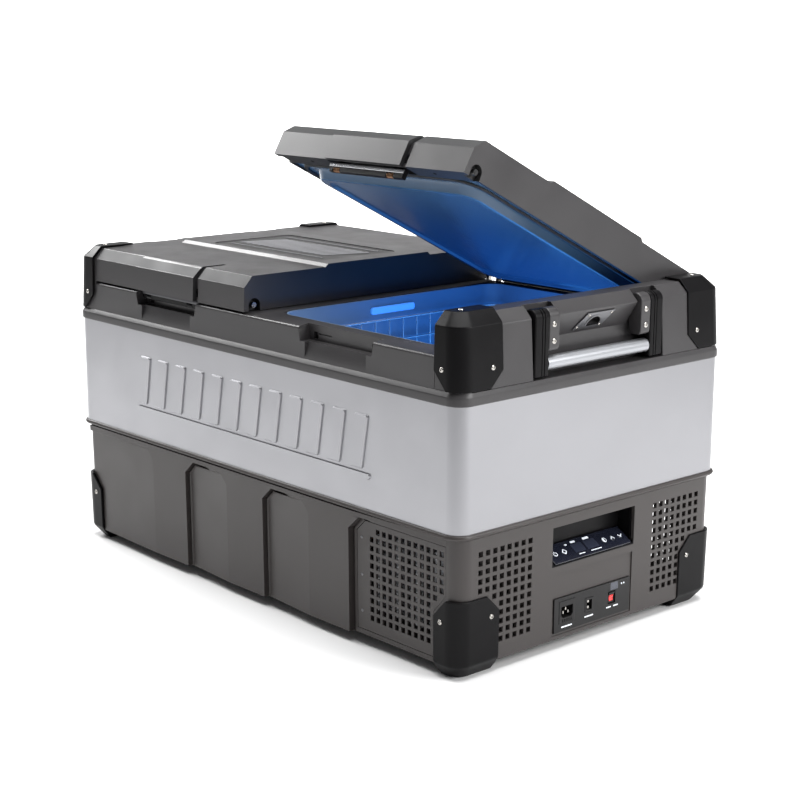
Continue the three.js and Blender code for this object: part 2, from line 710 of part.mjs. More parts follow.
function buildPorts() {
  const acHole = { y0: -70.5, y1: -37.5, z0: 37.5, z1: 71.5 };
  const dcHole = { y0: -16.5, y1: 1.5, z0: 42.5, z1: 64.5 };
  const switchHole = { y0: 33, y1: 49, z0: 44, z1: 63 };
  const through = ({ y0, y1, z0, z1 }) => box(ports.socketBack, outside.x, y0, y1, z0, z1);
  const plate = box(ports.back, ports.front, -ports.y, ports.y, ports.bottom, ports.top);
  add(fridge, 'ports_plate',
    cut(plate, through(acHole), through(dcHole), through(switchHole)), paint.guard);

  const socket = (hole, recess) => cut(
    box(ports.socketBack, ports.front + 2 * gap,
      hole.y0 + gap, hole.y1 - gap, hole.z0 + gap, hole.z1 - gap),
    box(ports.socketBack + ports.socketDepth, outside.x, ...recess));
  add(fridge, 'ac_inlet', socket(acHole, [-66, -42, 46, 63]), paint.panel);
  add(fridge, 'dc_inlet', socket(dcHole, [-13, -2, 46, 61]), paint.panel);

  const rocker = polygon([[452, 45.5], [461.3, 45.5], [460.4, 53.5], [464.2, 61.5], [452, 61.5]]);
  add(fridge, 'power_switch', prism(rocker, 'y', 35, 47), paint.red);
}

// ---------------------------------------------------------------- cooling machinery

const fan = { x: 345, z: 112, radius: 54, half: 60, hub: 18, front: -228, back: -203, blades: 7 };

const fins = { startX: 285, count: 12, pitch: 10, width: 4, tipY: -255, rootY: -240, backY: -232 };

function condenser() {
  const points = [[fins.startX, fins.backY], [fins.startX, fins.rootY]];
  for (let fin = 0; fin < fins.count; fin += 1) {
    const x = fins.startX + fin * fins.pitch;
    points.push([x, fins.tipY], [x + fins.width, fins.tipY]);
    points.push([x + fins.width, fins.rootY], [x + fins.pitch, fins.rootY]);
  }
  points.push([fins.startX + fins.count * fins.pitch, fins.backY]);
  return prism(polygon(points), 'z', 55, 168);
}

function fanHousing() {
  const { half } = fan;
  const frame = box(fan.x - half, fan.x + half, fan.front, fan.back, fan.z - half, fan.z + half);
  const bore = rod('y', fan.radius, fan.front - 1, fan.back + 1, [fan.x, fan.z], 28);
  const strut = box(fan.x - 4, fan.x + 4, fan.back - 4, fan.back, fan.z - half + 1, fan.z + half - 1);
  const hub = rod('y', fan.hub, fan.back - 4, fan.back, [fan.x, fan.z], 20);
  return join(cut(frame, bore), strut, hub);
}

function fanRotor() {
  const blades = [];
  for (let i = 0; i < fan.blades; i += 1) {
    const blade = new THREE.BoxGeometry(36, 2, 15);
    blade.rotateX(THREE.MathUtils.degToRad(50));
    blade.translate(33, 0, 0);
    blade.rotateY((i / fan.blades) * Math.PI * 2);
    blade.translate(fan.x, (fan.front + fan.back) / 2 - 2, fan.z);
    blades.push(toSolid(blade));
  }
  const hub = rod('y', fan.hub, fan.front + 2, fan.back - 5, [fan.x, fan.z], 20);
  return join(hub, ...blades);
}

function compressor() {
  const profile = [[0, 19.4], [58, 19.4], [70, 32], [72, 100], [66, 138], [42, 158], [0, 164]];
  const outline = profile.map(([radius, height]) => new THREE.Vector2(radius, height));
  const geometry = new THREE.LatheGeometry(outline, 24);
  geometry.rotateX(Math.PI / 2);
  geometry.translate(150, 60, 0);
  return toSolid(geometry);
}

function refrigerantLine() {
  const route = new THREE.CatmullRomCurve3([
    new THREE.Vector3(150, -12.8, 100), new THREE.Vector3(150, -70, 104),
    new THREE.Vector3(190, -170, 130), new THREE.Vector3(250, -238, 145),
    new THREE.Vector3(284.5, -238, 145),
  ]);
  const section = new THREE.Shape();
  section.absarc(0, 0, 3.2, 0, Math.PI * 2, false);
  return toSolid(new THREE.ExtrudeGeometry(section, {
    steps: 24, curveSegments: 4, bevelEnabled: false, extrudePath: route,
  }));
}

function buildMachinery() {
  add(fridge, 'compressor', compressor(), paint.machine);
  add(fridge, 'condenser', condenser(), paint.fins);
  add(fridge, 'refrigerant_line', refrigerantLine(), paint.copper);
  add(fridge, 'fan_housing', fanHousing(), paint.guard);
  add(fridge, 'fan_rotor', fanRotor(), paint.machine);
  const boardParts = [
    [404, 406, -70, 70, 110, 185], [390, 405, -50, -20, 130, 160], [395, 405, 5, 45, 125, 150],
  ];
  add(fridge, 'control_board', join(...boardParts.map((part) => box(...part))), paint.board);
}

// ---------------------------------------------------------------- assembly

buildBase();
buildCase();
buildUpperFrame();
buildLid('left', lid.left, -compartmentCentre, 0);
buildLid('right', lid.right, compartmentCentre, openAngle);
buildInside();
buildControls();
buildPorts();
buildMachinery();

export default fridge;
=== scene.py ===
import math
from contextlib import contextmanager

import bmesh
import bpy
from mathutils import Matrix, Vector


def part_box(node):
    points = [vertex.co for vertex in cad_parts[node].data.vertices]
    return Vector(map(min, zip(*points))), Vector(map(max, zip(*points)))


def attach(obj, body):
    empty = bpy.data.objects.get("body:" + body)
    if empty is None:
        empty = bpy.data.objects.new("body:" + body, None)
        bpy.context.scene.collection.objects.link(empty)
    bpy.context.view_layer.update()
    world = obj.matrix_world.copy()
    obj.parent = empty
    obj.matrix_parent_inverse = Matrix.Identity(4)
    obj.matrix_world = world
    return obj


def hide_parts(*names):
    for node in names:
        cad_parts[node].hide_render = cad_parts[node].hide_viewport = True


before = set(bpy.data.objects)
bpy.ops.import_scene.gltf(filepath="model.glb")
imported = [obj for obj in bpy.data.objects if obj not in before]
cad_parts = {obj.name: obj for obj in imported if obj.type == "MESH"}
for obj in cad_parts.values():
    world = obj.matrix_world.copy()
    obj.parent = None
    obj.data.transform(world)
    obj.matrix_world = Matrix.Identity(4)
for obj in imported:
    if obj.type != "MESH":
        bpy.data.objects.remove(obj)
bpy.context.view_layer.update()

# ---------------------------------------------------------------- frame sizes, in millimetres

MM = 0.001  # the helpers below take millimetres and make metres


def span(node):
    """Lowest and highest corner of a CAD node, in millimetres."""
    lo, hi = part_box(node)
    return Vector(lo) / MM, Vector(hi) / MM


base_lo, base_hi = span("base_shell")
sleeve_lo, sleeve_hi = span("sleeve")
rim_lo, rim_hi = span("upper_rim")
block_lo, block_hi = span("end_block_right")
tube_lo, tube_hi = span("handle_right_tube")
plate_lo, plate_hi = span("ports_plate")
LID_BOTTOM = span("lid_shell_left")[0].z
CROWN_BOTTOM = span("upper_guard_front_right")[0].z
FOOT_TOP = span("lower_guard_front_right")[1].z

CORNER_STEPS = 12

SIDES = (-1, 1)
HINGE_RADIUS = 4.5
HINGE_Y = 248.0
HINGE_Z = span("hinge_rod_left")[1].z - HINGE_RADIUS
LIDS = {"left": (-412.5, -3.5), "right": (9.0, 412.5)}  # from one side to the other, in x
LID_ANGLES = {"left": 0.0, "right": math.radians(26.6)}  # how far each stands open at rest
COMPARTMENT_X = 205.0
COMPARTMENT_HALF = (179.0, 222.0)
COMPARTMENT_CORNER = 30.0

# ---------------------------------------------------------------- mesh helpers


@contextmanager
def editing(mesh):
    """The mesh as a bmesh, written back at the end."""
    shape = bmesh.new()
    shape.from_mesh(mesh)
    yield shape
    shape.to_mesh(mesh)
    shape.free()


def put(name, data):
    """A new object in the scene."""
    obj = bpy.data.objects.new(name, data)
    bpy.context.scene.collection.objects.link(obj)
    return obj


def level(outline, z):
    return [(u, v, z) for u, v in outline]


class Solids:
    """Collects closed solids, each a stack of rings with capped ends, into one mesh."""

    def __init__(self):
        self.verts = []
        self.faces = []

    def rings(self, rings, place=None, loop=False):
        count = len(rings[0])
        start = len(self.verts)
        for ring in rings:
            for point in ring:
                self.verts.append(place @ Vector(point) if place else Vector(point))
        rows = len(rings) if loop else len(rings) - 1
        for k in range(rows):
            here = start + k * count
            there = start + (k + 1) % len(rings) * count
            for i in range(count):
                j = (i + 1) % count
                self.faces.append((here + i, here + j, there + j, there + i))
        if not loop:
            last = start + (len(rings) - 1) * count
            self.faces.append(tuple(start + i for i in reversed(range(count))))
            self.faces.append(tuple(last + i for i in range(count)))
        return self

    def box(self, x, y, z):
        ring = [(x[0], y[0]), (x[1], y[0]), (x[1], y[1]), (x[0], y[1])]
        return self.rings([level(ring, w) for w in z])

    def prism(self, outline, axis, lo, hi, place=None):
        to_point = AXES[axis]
        return self.rings([[to_point(u, v, w) for u, v in outline] for w in (lo, hi)], place)

    def object(self, name):
        mesh = bpy.data.meshes.new(name)
        mesh.from_pydata([(x * MM, y * MM, z * MM) for x, y, z in self.verts], [], self.faces)
        with editing(mesh) as shape:
            bmesh.ops.recalc_face_normals(shape, faces=shape.faces)
        return put(name, mesh)


AXES = {
    "x": lambda u, v, w: (w, u, v),
    "y": lambda u, v, w: (u, w, v),
    "z": lambda u, v, w: (u, v, w),
}


def rounded_ring(x, y, r, cx=0.0, cy=0.0, steps=CORNER_STEPS):
    ring = []
    for corner in range(4):
        sx = 1 if corner in (0, 3) else -1
        sy = 1 if corner < 2 else -1
        for step in range(steps + 1):
            angle = (corner + step / steps) * math.pi / 2
            ring.append((cx + sx * (x - r) + r * math.cos(angle),
                         cy + sy * (y - r) + r * math.sin(angle)))
    return ring


def circle(radius, centre=(0.0, 0.0), sides=32):
    turn = 2 * math.pi / sides
    return [(centre[0] + radius * math.cos(i * turn), centre[1] + radius * math.sin(i * turn))
            for i in range(sides)]


def arc(centre, radius, start, end, steps=10):
    return [(centre[0] + radius * math.cos(math.radians(start + (end - start) * i / steps)),
             centre[1] + radius * math.sin(math.radians(start + (end - start) * i / steps)))
            for i in range(steps + 1)]


def solid(name, rings, loop=False):
    return Solids().rings(rings, loop=loop).object(name)


def loft(name, levels, cx=0.0, steps=CORNER_STEPS):
    """A closed solid through rounded rectangles: levels of (z, half x, half y, corner radius)."""
    return solid(name, [level(rounded_ring(x, y, r, cx, steps=steps), z) for z, x, y, r in levels])


def prism(name, outline, axis, lo, hi):
    return Solids().prism(outline, axis, lo, hi).object(name)


def rod(name, axis, radius, lo, hi, centre, sides=32):
    return prism(name, circle(radius, centre, sides), axis, lo, hi)


def block(name, x, y, z):
    return Solids().box(x, y, z).object(name)


def boolean(obj, operation, tools):
    for tool in tools:
        modifier = obj.modifiers.new("boolean", "BOOLEAN")
        modifier.operation = operation
        modifier.solver = "EXACT"
        modifier.object = tool
    mesh, old = evaluated(obj), obj.data
    obj.modifiers.clear()
    obj.data = mesh
    bpy.data.meshes.remove(old)
    for tool in tools:
        bpy.data.objects.remove(tool, do_unlink=True)
    return obj


def cut(obj, *tools):
    return boolean(obj, "DIFFERENCE", tools)


def join(obj, *tools):
    return boolean(obj, "UNION", tools)


def keep(obj, *tools):
    return boolean(obj, "INTERSECT", tools)


def soften(obj, width, segments=3, angle=30.0):
    """Rounds the sharp edges of a plain solid."""
    with editing(obj.data) as shape:
        sharp = [e for e in shape.edges if len(e.link_faces) == 2
                 and e.calc_face_angle(0.0) > math.radians(angle)]
        bmesh.ops.bevel(shape, geom=sharp, offset=width * MM, segments=segments, profile=0.5,
                        affect="EDGES", clamp_overlap=True)


def tidy(obj):
    """Merges the near-double points that cuts leave behind."""
    reach = 0.02 * MM
    with editing(obj.data) as shape:
        bmesh.ops.remove_doubles(shape, verts=shape.verts, dist=reach)
        bmesh.ops.dissolve_degenerate(shape, edges=shape.edges, dist=reach)
        bmesh.ops.dissolve_limit(shape, angle_limit=math.radians(0.4), verts=shape.verts,
                                 edges=shape.edges)


def evaluated(obj):
    """The mesh of an object with its modifiers or bevel applied."""
    return bpy.data.meshes.new_from_object(obj.evaluated_get(bpy.context.evaluated_depsgraph_get()))


def tube(name, paths, radius, closed=False):
    """Round wire along each path of points."""
    curve = bpy.data.curves.new(name, "CURVE")
    curve.dimensions = "3D"
    curve.bevel_depth = radius * MM
    curve.bevel_resolution = 3
    curve.use_fill_caps = True
    for path in paths:
        spline = curve.splines.new("POLY")
        spline.points.add(len(path) - 1)
        for point, place in zip(spline.points, path):
            point.co = (place[0] * MM, place[1] * MM, place[2] * MM, 1.0)
        spline.use_cyclic_u = closed
    path = put(name, curve)
    mesh = evaluated(path)
    bpy.data.objects.remove(path, do_unlink=True)
    return put(name, mesh)


def bevel_edges(obj, width, clamp=True):
    if width:
        bevel = obj.modifiers.new("edges", "BEVEL")
        bevel.width = width * MM
        bevel.segments = 2
        bevel.limit_method = "ANGLE"
        bevel.angle_limit = math.radians(35)
        bevel.use_clamp_overlap = clamp
        bevel.harden_normals = True


def finish_piece(obj, name, look, body, slot, stands_for=(), edge=0.0, smooth=32.0):
    """Gives a piece its name, material, softened edges, shading, body and CAD nodes."""
    obj.name = name
    materials = obj.data.materials
    if not materials or materials[0] is not looks[look]:
        materials.clear()
        materials.append(looks[look])
    bevel_edges(obj, edge, clamp=False)
    obj.data.shade_smooth()
    obj.data.set_sharp_from_angle(angle=math.radians(smooth))
    normals = obj.modifiers.new("normals", "WEIGHTED_NORMAL")
    normals.weight = 50
    normals.keep_sharp = True
    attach(obj, body)
    if stands_for:
        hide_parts(*stands_for)


def dress_node(node, look, edge=0.0):
    """A CAD node that is shown as it is, with a finished material and softened edges."""
    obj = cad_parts[node]
    for slot in obj.material_slots:
        slot.material = looks[look]
    if not obj.material_slots:
        obj.data.materials.append(looks[look])
    bevel_edges(obj, edge)


def placing(right, up, out, origin):
    """Matrix from three axes and an origin to the frame."""
    matrix = Matrix((right, up, out)).transposed().to_4x4()
    matrix.translation = origin
    return matrix


def face_frame(origin, normal, up=(0.0, 0.0, 1.0)):
    """Matrix from a face's own axes (right, up, out) to the frame, in millimetres."""
    out = Vector(normal).normalized()
    right = Vector(up).cross(out).normalized()
    return placing(right, out.cross(right), out, origin)


def incline(low, high, lift):
    """Matrix on a sloped face of the right end: right, up the slope, out of the face."""
    up = (high - low).normalized()
    across = Vector((0, 1, 0))
    out = across.cross(up)
    return placing(across, up, out, (low + high) / 2 + out * lift)


def metres(matrix):
    """The same placing for a mesh that is already in metres."""
    scaled = matrix.copy()
    scaled.translation = matrix.translation * MM
    return scaled


def mirrored(pair, sign):
    return sorted((sign * pair[0], sign * pair[1]))


# ---------------------------------------------------------------- materials


UNEVEN = 0.06  # how far a finish's roughness strays to either side


def feed(tree, node, **inputs):
    """Sets a node's inputs: a socket is linked, anything else is a value."""
    for name, value in inputs.items():
        target = node.inputs[name.replace("_", " ")]
        if isinstance(value, bpy.types.NodeSocket):
            tree.links.new(value, target)
        else:
            target.default_value = value
    return node


def add(tree, kind, **inputs):
    return feed(tree, tree.nodes.new("ShaderNode" + kind), **inputs)


def shade(colour, by):
    return tuple(min(1.0, c * by) for c in colour) + (1.0,)


def surface(name, colour, roughness, metallic=0.0, grain=900.0, depth=0.02, mottle=0.08,
            stretch=(1.0, 1.0, 1.0), coat=0.0, glow=None, specular=0.5):
    """Procedural finish: mottled colour, uneven roughness and fine grain."""
    material = bpy.data.materials.new(name)
    material.use_nodes = True
    tree = material.node_tree
    shader = tree.nodes["Principled BSDF"]
    feed(tree, shader, Metallic=metallic, Coat_Weight=coat, Coat_Roughness=0.12,
         Specular_IOR_Level=specular)
    if glow:
        feed(tree, shader, Emission_Color=glow[0] + (1.0,), Emission_Strength=glow[1])

    coordinates = add(tree, "TexCoord")
    place = add(tree, "Mapping", Scale=stretch, Vector=coordinates.outputs["Object"]).outputs["Vector"]
    broad = add(tree, "TexNoise", Scale=14.0, Detail=3.0, Roughness=0.55, Vector=place).outputs["Fac"]
    fine = add(tree, "TexNoise", Scale=grain, Detail=3.0, Roughness=0.6, Vector=place).outputs["Fac"]

    ramp = add(tree, "ValToRGB", Fac=broad)
    ramp.color_ramp.interpolation = "EASE"
    for element, position, by in zip(ramp.color_ramp.elements, (0.15, 0.85), (-mottle, mottle)):
        element.position = position
        element.color = shade(colour, 1.0 + by)
    uneven = add(tree, "MapRange", From_Min=0.1, From_Max=0.9, To_Min=roughness - UNEVEN,
                 To_Max=roughness + UNEVEN, Value=broad)
    uneven.interpolation_type = "SMOOTHSTEP"
    bump = add(tree, "Bump", Strength=0.5, Distance=depth * MM, Height=fine)
    feed(tree, shader, Base_Color=ramp.outputs["Color"], Roughness=uneven.outputs["Result"],
         Normal=bump.outputs["Normal"])
    return material


looks = {key: surface(*basic, **more) for key, basic, more in (
    ("gunmetal", ("gunmetal_plastic", (0.036, 0.034, 0.0355), 0.37),
     dict(grain=1100.0, depth=0.06, mottle=0.05, specular=0.47)),
    ("lower", ("lower_plastic", (0.043, 0.0375, 0.036), 0.42),
     dict(grain=1100.0, depth=0.07, mottle=0.06, specular=0.4)),
    ("sleeve", ("satin_silver", (0.315, 0.315, 0.33), 0.345, 0.97),
     dict(grain=500.0, depth=0.003, mottle=0.02)),
    ("guard", ("guard_rubberised", (0.0042, 0.0039, 0.0044), 0.36),
     dict(depth=0.05, mottle=0.1, specular=0.11)),
    ("aluminium", ("grip_aluminium", (0.40, 0.41, 0.43), 0.44, 1.0),
     dict(grain=500.0, mottle=0.03, stretch=(6.0, 0.12, 6.0))),
    ("bar", ("latch_aluminium", (0.78, 0.79, 0.82), 0.26, 1.0),
     dict(grain=500.0, mottle=0.03, stretch=(0.12, 6.0, 6.0))),
    # painted shade: a darkened copy of the latch aluminium, for the left strip that sits in shade under its
    # tab
    ("bar_painted_shade", ("latch_anodised", (0.05, 0.05, 0.055), 0.3, 0.6),
     dict(grain=500.0, mottle=0.05, stretch=(0.12, 6.0, 6.0))),
    ("steel", ("stainless_steel", (0.50, 0.48, 0.45), 0.26, 1.0), dict(grain=1500.0)),
    ("opener", ("opener_steel", (0.20, 0.20, 0.21), 0.34, 1.0),
     dict(grain=700.0, mottle=0.06, stretch=(1.0, 0.2, 1.0))),
    ("foam", ("foam_charcoal", (0.035, 0.032, 0.03), 0.9), dict(grain=420.0, depth=0.6, mottle=0.12)),
    # painted light: the liner is white, and its base colour is tinted blue to paint the light of the blue
    # lamp inside
    ("liner", ("liner_white", (0.20, 0.30, 0.44), 0.345),
     dict(grain=700.0, depth=0.03, mottle=0.03, coat=0.2)),
    # painted light and shade: the lid liner is white, and its dark blue base colour paints the blue lamp
    # light and the shade under the lid
    ("lid_liner", ("lid_liner_blue", (0.05, 0.11, 0.20), 0.20),
     dict(grain=300.0, depth=0.003, mottle=0.04)),
    ("badge", ("badge_inlay", (0.014, 0.0135, 0.014), 0.4), dict(depth=0.05)),
    ("badge_rib", ("badge_satin", (0.20, 0.20, 0.21), 0.4, 0.2), {}),
    ("gasket", ("gasket_rubber", (0.008, 0.008, 0.009), 0.6), dict(grain=1500.0, depth=0.05)),
    ("wire", ("basket_coating", (0.62, 0.66, 0.72), 0.26, 0.6), dict(depth=0.03, mottle=0.04, coat=0.3)),
    ("lens", ("light_lens", (0.25, 0.55, 1.0), 0.2), dict(glow=((0.05, 0.30, 1.0), 0.55))),
    ("panel", ("panel_gloss", (0.012, 0.014, 0.024), 0.14),
     dict(grain=2200.0, depth=0.01, mottle=0.1, coat=0.4)),
    ("window", ("display_window", (0.03, 0.035, 0.055), 0.08),
     dict(grain=2200.0, depth=0.01, mottle=0.1, coat=0.6)),
    ("port", ("port_black", (0.009, 0.0085, 0.009), 0.36), dict(grain=1200.0, depth=0.04, specular=0.3)),
    # painted light: the white print also glows faintly, though no lamp lies behind it
    ("print", ("white_print", (0.80, 0.83, 0.87), 0.5),
     dict(grain=2200.0, depth=0.01, mottle=0.02, glow=((0.8, 0.9, 1.0), 0.25))),
    ("red", ("switch_red", (0.55, 0.012, 0.012), 0.25),
     dict(grain=1500.0, coat=0.4, glow=((1.0, 0.02, 0.02), 0.35))),
    ("machine", ("black_enamel", (0.015, 0.015, 0.016), 0.35, 0.2), dict(grain=300.0, depth=0.1, coat=0.3)),
    ("fins", ("fin_aluminium", (0.55, 0.56, 0.58), 0.42, 1.0), dict(depth=0.04, stretch=(1.0, 1.0, 0.2))),
    ("copper", ("copper_pipe", (0.60, 0.25, 0.12), 0.3, 1.0), dict(depth=0.03, mottle=0.12)),
    ("spring", ("spring_wire", (0.30, 0.17, 0.10), 0.35, 1.0), {}),
    ("board", ("circuit_board", (0.02, 0.16, 0.06), 0.4), dict(grain=600.0, depth=0.05, mottle=0.2)),
)}

# ---------------------------------------------------------------- screws


def screw_rings(radius, height):
    """A domed socket screw head, standing on its own z = 0."""
    sides = 24
    socket = radius * 0.46

    def ring(r, z):
        return level(circle(r, sides=sides), z)

    def hexagon(z):
        points = []
        for i in range(sides):
            angle = 2 * math.pi * i / sides
            wedge = (angle % (math.pi / 3)) - math.pi / 6
            r = socket * math.cos(math.pi / 6) / math.cos(wedge)
            points.append((r * math.cos(angle), r * math.sin(angle), z))
        return points

    return [ring(radius, 0.0), ring(radius, height * 0.3), ring(radius * 0.9, height * 0.72),
            ring(radius * 0.68, height), hexagon(height), hexagon(height * 0.35)]


def screws(name, places, look, body, radius, height):
    """Screw heads at (point, outward direction) places."""
    heads = Solids()
    for point, normal in places:
        up = (0.0, 0.0, 1.0) if abs(Vector(normal).normalized().z) < 0.95 else (0.0, 1.0, 0.0)
        heads.rings(screw_rings(radius, height), face_frame(point, normal, up))
    finish_piece(heads.object(name), name, look, body, "stainless_steel", smooth=40.0)


# ---------------------------------------------------------------- base

WALL_LOW = (461.0, 263.6)
WALL_HIGH = (463.0, 265.4)
WALL_TOP = 198.0
RIB_PROUD = 7.6
STEP_RUN = 6.0
PANEL_TOP = 189.0
PANEL_CHAMFER = (21.0, 18.5)
RIB_PITCH = 201.0
RIB_RIGHT = 242.0
RAMP_RUN = 111.0
HOLE = 4.0
VENT_PITCH = 13.05
VENT_ROW = 12.9
VENT_TOP = 174.5
VENT_FIRST_X = 283.8
END_VENT_FIRST = 131.0
END_VENT_PITCH = 13.6


def wall_y(z):
    t = (z - base_lo.z) / (WALL_TOP - base_lo.z)
    return WALL_LOW[1] + t * (WALL_HIGH[1] - WALL_LOW[1])


def unit(t):
    return max(0.0, min(1.0, t))


def rib_slab(side):
    """The raised skin of a long side, before its ramps are cut."""
    x0, x1 = -440.0, RIB_RIGHT
    z0, z1 = 16.0, 190.0
    depth = 6.5
    dx, dz = PANEL_CHAMFER
    outline = [(x0, z0), (x1, z0), (x1, z1 - dz), (x1 + dx, z1), (x0, z1)]
    return solid("skin", [[(x, side * (wall_y(z) + offset), z) for x, z in outline]
                          for offset in (-depth, RIB_PROUD)])


def top_band(side):
    """The full-height skin above the ramps, which sinks into the wall beside the vents."""
    inner, outer = wall_y(WALL_TOP) - 6.5, wall_y(WALL_TOP) + RIB_PROUD
    outline = [(-440.0, side * inner), (-440.0, side * outer), (RIB_RIGHT, side * outer),
               (438.0, side * (outer - RIB_PROUD + 0.3)), (438.0, side * inner)]
    return prism("band", outline, "z", PANEL_TOP + 0.6, WALL_TOP - 0.1)


def ramp_cutter(side, x0, x1, step):
    """Removes a ramp from the raised skin: deepest beside x0, flush at x1."""
    dx, dz = PANEL_CHAMFER
    low = base_lo.z - 6.0
    outline = [(x0, low), (x0, PANEL_TOP - dz), (x0 + dx, PANEL_TOP), (x1 - 16.0, PANEL_TOP),
               (x1, PANEL_TOP - 16.0), (x1, low)]
    inner = [(x0 + step, low), (x0 + step, PANEL_TOP - dz - 2.0), (x0 + dx + 2.0, PANEL_TOP - step),
             (x1 - 13.0, PANEL_TOP - 1.0), (x1 - 0.5, PANEL_TOP - 16.5), (x1 - 0.5, low)]

    def depth(x):
        return RIB_PROUD * unit((x1 - x) / (x1 - x0 - step))

    return solid("ramp", [
        [(x, side * (wall_y(z) + RIB_PROUD + 30.0), z) for x, z in outline],
        [(x, side * (wall_y(z) + RIB_PROUD + 0.02), z) for x, z in outline],
        [(x, side * (wall_y(z) + RIB_PROUD - 0.02 - depth(x)), z) for x, z in inner],
    ])


def step_groove(side, x):
    """A dark gap that follows the step on the left of a ramp and fades out along its top."""
    width, depth, run = 4.2, 5.0, 52.0
    dx, dz = PANEL_CHAMFER
    fade = x + dx + run
    path = [(x, base_lo.z - 8), (x, PANEL_TOP - dz), (x + dx, PANEL_TOP), (fade, PANEL_TOP + 0.2)]
    left, right = stroke(path, width)
    outline = [(p.x, p.y) for p in left + right[::-1]]

    def bottom(u, v):
        near = unit((fade - u) / run)
        return side * (wall_y(v) + RIB_PROUD * (1 - near) + 0.4 - depth * near)

    return solid("groove", [[(u, side * (wall_y(v) + RIB_PROUD + 8.0), v) for u, v in outline],
                            [(u, bottom(u, v), v) for u, v in outline]])


def grille_holes():
    for column in range(12):
        x = VENT_FIRST_X + column * VENT_PITCH
        rows = range(1, 11) if column == 0 else range({10: 6, 11: 5}.get(column, 11))
        for row in rows:
            yield x, VENT_TOP - row * VENT_ROW


def end_holes():
    for side in SIDES:
        for column in range(8):
            y = side * (END_VENT_FIRST + column * END_VENT_PITCH)
            for row in range({5: 6, 6: 5, 7: 5}.get(column, 11)):
                yield y, VENT_TOP - row * VENT_ROW


GRILLE_OUTLINE = [(252.0, 24.0), (412.0, 24.0), (412.0, 90.0), (436.0, 117.0), (436.0, 187.0),
                  (270.0, 187.0), (252.0, 170.0)]


def guard_region(sx, sy, far_z, edge_z, clearance):
    """The corner that a guard covers, with a bevelled point on each face."""
    outward = 1 if edge_z > far_z else -1
    edge = edge_z + outward * clearance
    reach = 23.5

    def face(sign, inner, outer, point):
        inner -= clearance
        return [(sign * inner, far_z), (sign * outer, far_z), (sign * outer, edge),
                (sign * (inner + reach), edge), (sign * inner, edge - outward * point)]

    return keep(prism("region", face(sx, 416.5, 490, 25), "y", -300, 300),
                prism("end", face(sy, 190.5, 300, 23), "x", -490, 490))


CORNERS = {"front_right": (1, -1), "rear_right": (1, 1), "front_left": (-1, -1), "rear_left": (-1, 1)}
ABOVE, BELOW = 540, -40  # past the object
GAP = 0.4  # between a guard and its seat

CONTROL_Y = 86.0
CONTROL_Z = (125.0, 183.0)
SERVICE_Y = 84.0
SERVICE_Z = (22.0, 114.0)


def build_base():
    shell = loft("base_moulding", [
        (base_lo.z, WALL_LOW[0] - 4.5, WALL_LOW[1] - 4.5, 19),
        (base_lo.z + 2.5, WALL_LOW[0] - 1.2, WALL_LOW[1] - 1.2, 22),
        (base_lo.z + 6, WALL_LOW[0], WALL_LOW[1], 23),
        (WALL_TOP, WALL_HIGH[0], WALL_HIGH[1], 23),
        (WALL_TOP + 0.2, WALL_HIGH[0] - 1.5, WALL_HIGH[1] - 1.5, 22),
        (WALL_TOP + 1.4, WALL_HIGH[0] - 1.5, WALL_HIGH[1] - 1.5, 22),
        (WALL_TOP + 1.6, base_hi.x - 2.6, base_hi.y - 2.6, 24),
        (WALL_TOP + 3.2, base_hi.x - 0.9, base_hi.y - 0.9, 25),
        (base_hi.z - 4.0, base_hi.x, base_hi.y, 26),
        (base_hi.z - 2.0, base_hi.x - 0.4, base_hi.y - 0.4, 26),
        (base_hi.z - 0.7, base_hi.x - 1.3, base_hi.y - 1.3, 25),
        (base_hi.z, base_hi.x - 2.4, base_hi.y - 2.4, 24),
    ])
    join(shell, *[rib_slab(side) for side in SIDES], *[top_band(side) for side in SIDES])
    ramps, grooves = [], []
    for side in SIDES:
        for k in range(3):
            rib = RIB_RIGHT - (2 - k) * RIB_PITCH
            start = rib - 90.0
            ramps.append(ramp_cutter(side, start - RAMP_RUN if k else -470.0, start,
                                     STEP_RUN if k else 0.5))
            grooves.append(step_groove(side, rib + 2.4))
    cut(shell, *ramps)
    cut(shell, *grooves)
    seat = loft("seat", [(sleeve_lo.z - 0.3, sleeve_hi.x + 0.3, sleeve_hi.y + 0.3, 24.3),
                         (base_hi.z + 9, sleeve_hi.x + 0.3, sleeve_hi.y + 0.3, 24.3)])
    cavity = loft("cavity", [(base_lo.z + 5, 444, 246, 14), (base_lo.z + 17, 455.5, 255.5, 17),
                             (base_hi.z + 9, 457.6, 256, 17)])
    recess = block("recess", (430, 500), (-CONTROL_Y, CONTROL_Y), CONTROL_Z)
    service = block("service", (460.0, 500), (-SERVICE_Y, SERVICE_Y), SERVICE_Z)
    window = block("window", (430, 500), (-plate_hi.y - 0.3, plate_hi.y + 0.3),
                   (plate_lo.z - 0.3, plate_hi.z + 0.3))
    cut(shell, seat, cavity, recess, service, window)
    holes = Solids()
    for y, z in end_holes():
        holes.box((440, 480), (y - HOLE, y + HOLE), (z - HOLE, z + HOLE))
    openings = [prism("grille_window", GRILLE_OUTLINE, "y", side * 240, side * 300)
                for side in SIDES]
    cut(shell, holes.object("holes"), *openings)
    seats = []
    for sx, sy in CORNERS.values():
        region = guard_region(sx, sy, BELOW, FOOT_TOP, GAP)
        inner = loft("inner", [(12, 451.4, 257.9, 16), (25, 458.9, 264.6, 20), (140, 460.4, 266.2, 20)])
        seats.append(cut(region, inner))
    cut(shell, *seats)
    tidy(shell)
    finish_piece(shell, "base_moulding", "lower", "case", "lower_plastic", ["base_shell"])
    for side, name in ((-1, "front"), (1, "rear")):
        build_grille(side, name)
    for corner, (sx, sy) in CORNERS.items():
        build_foot(corner, sx, sy)


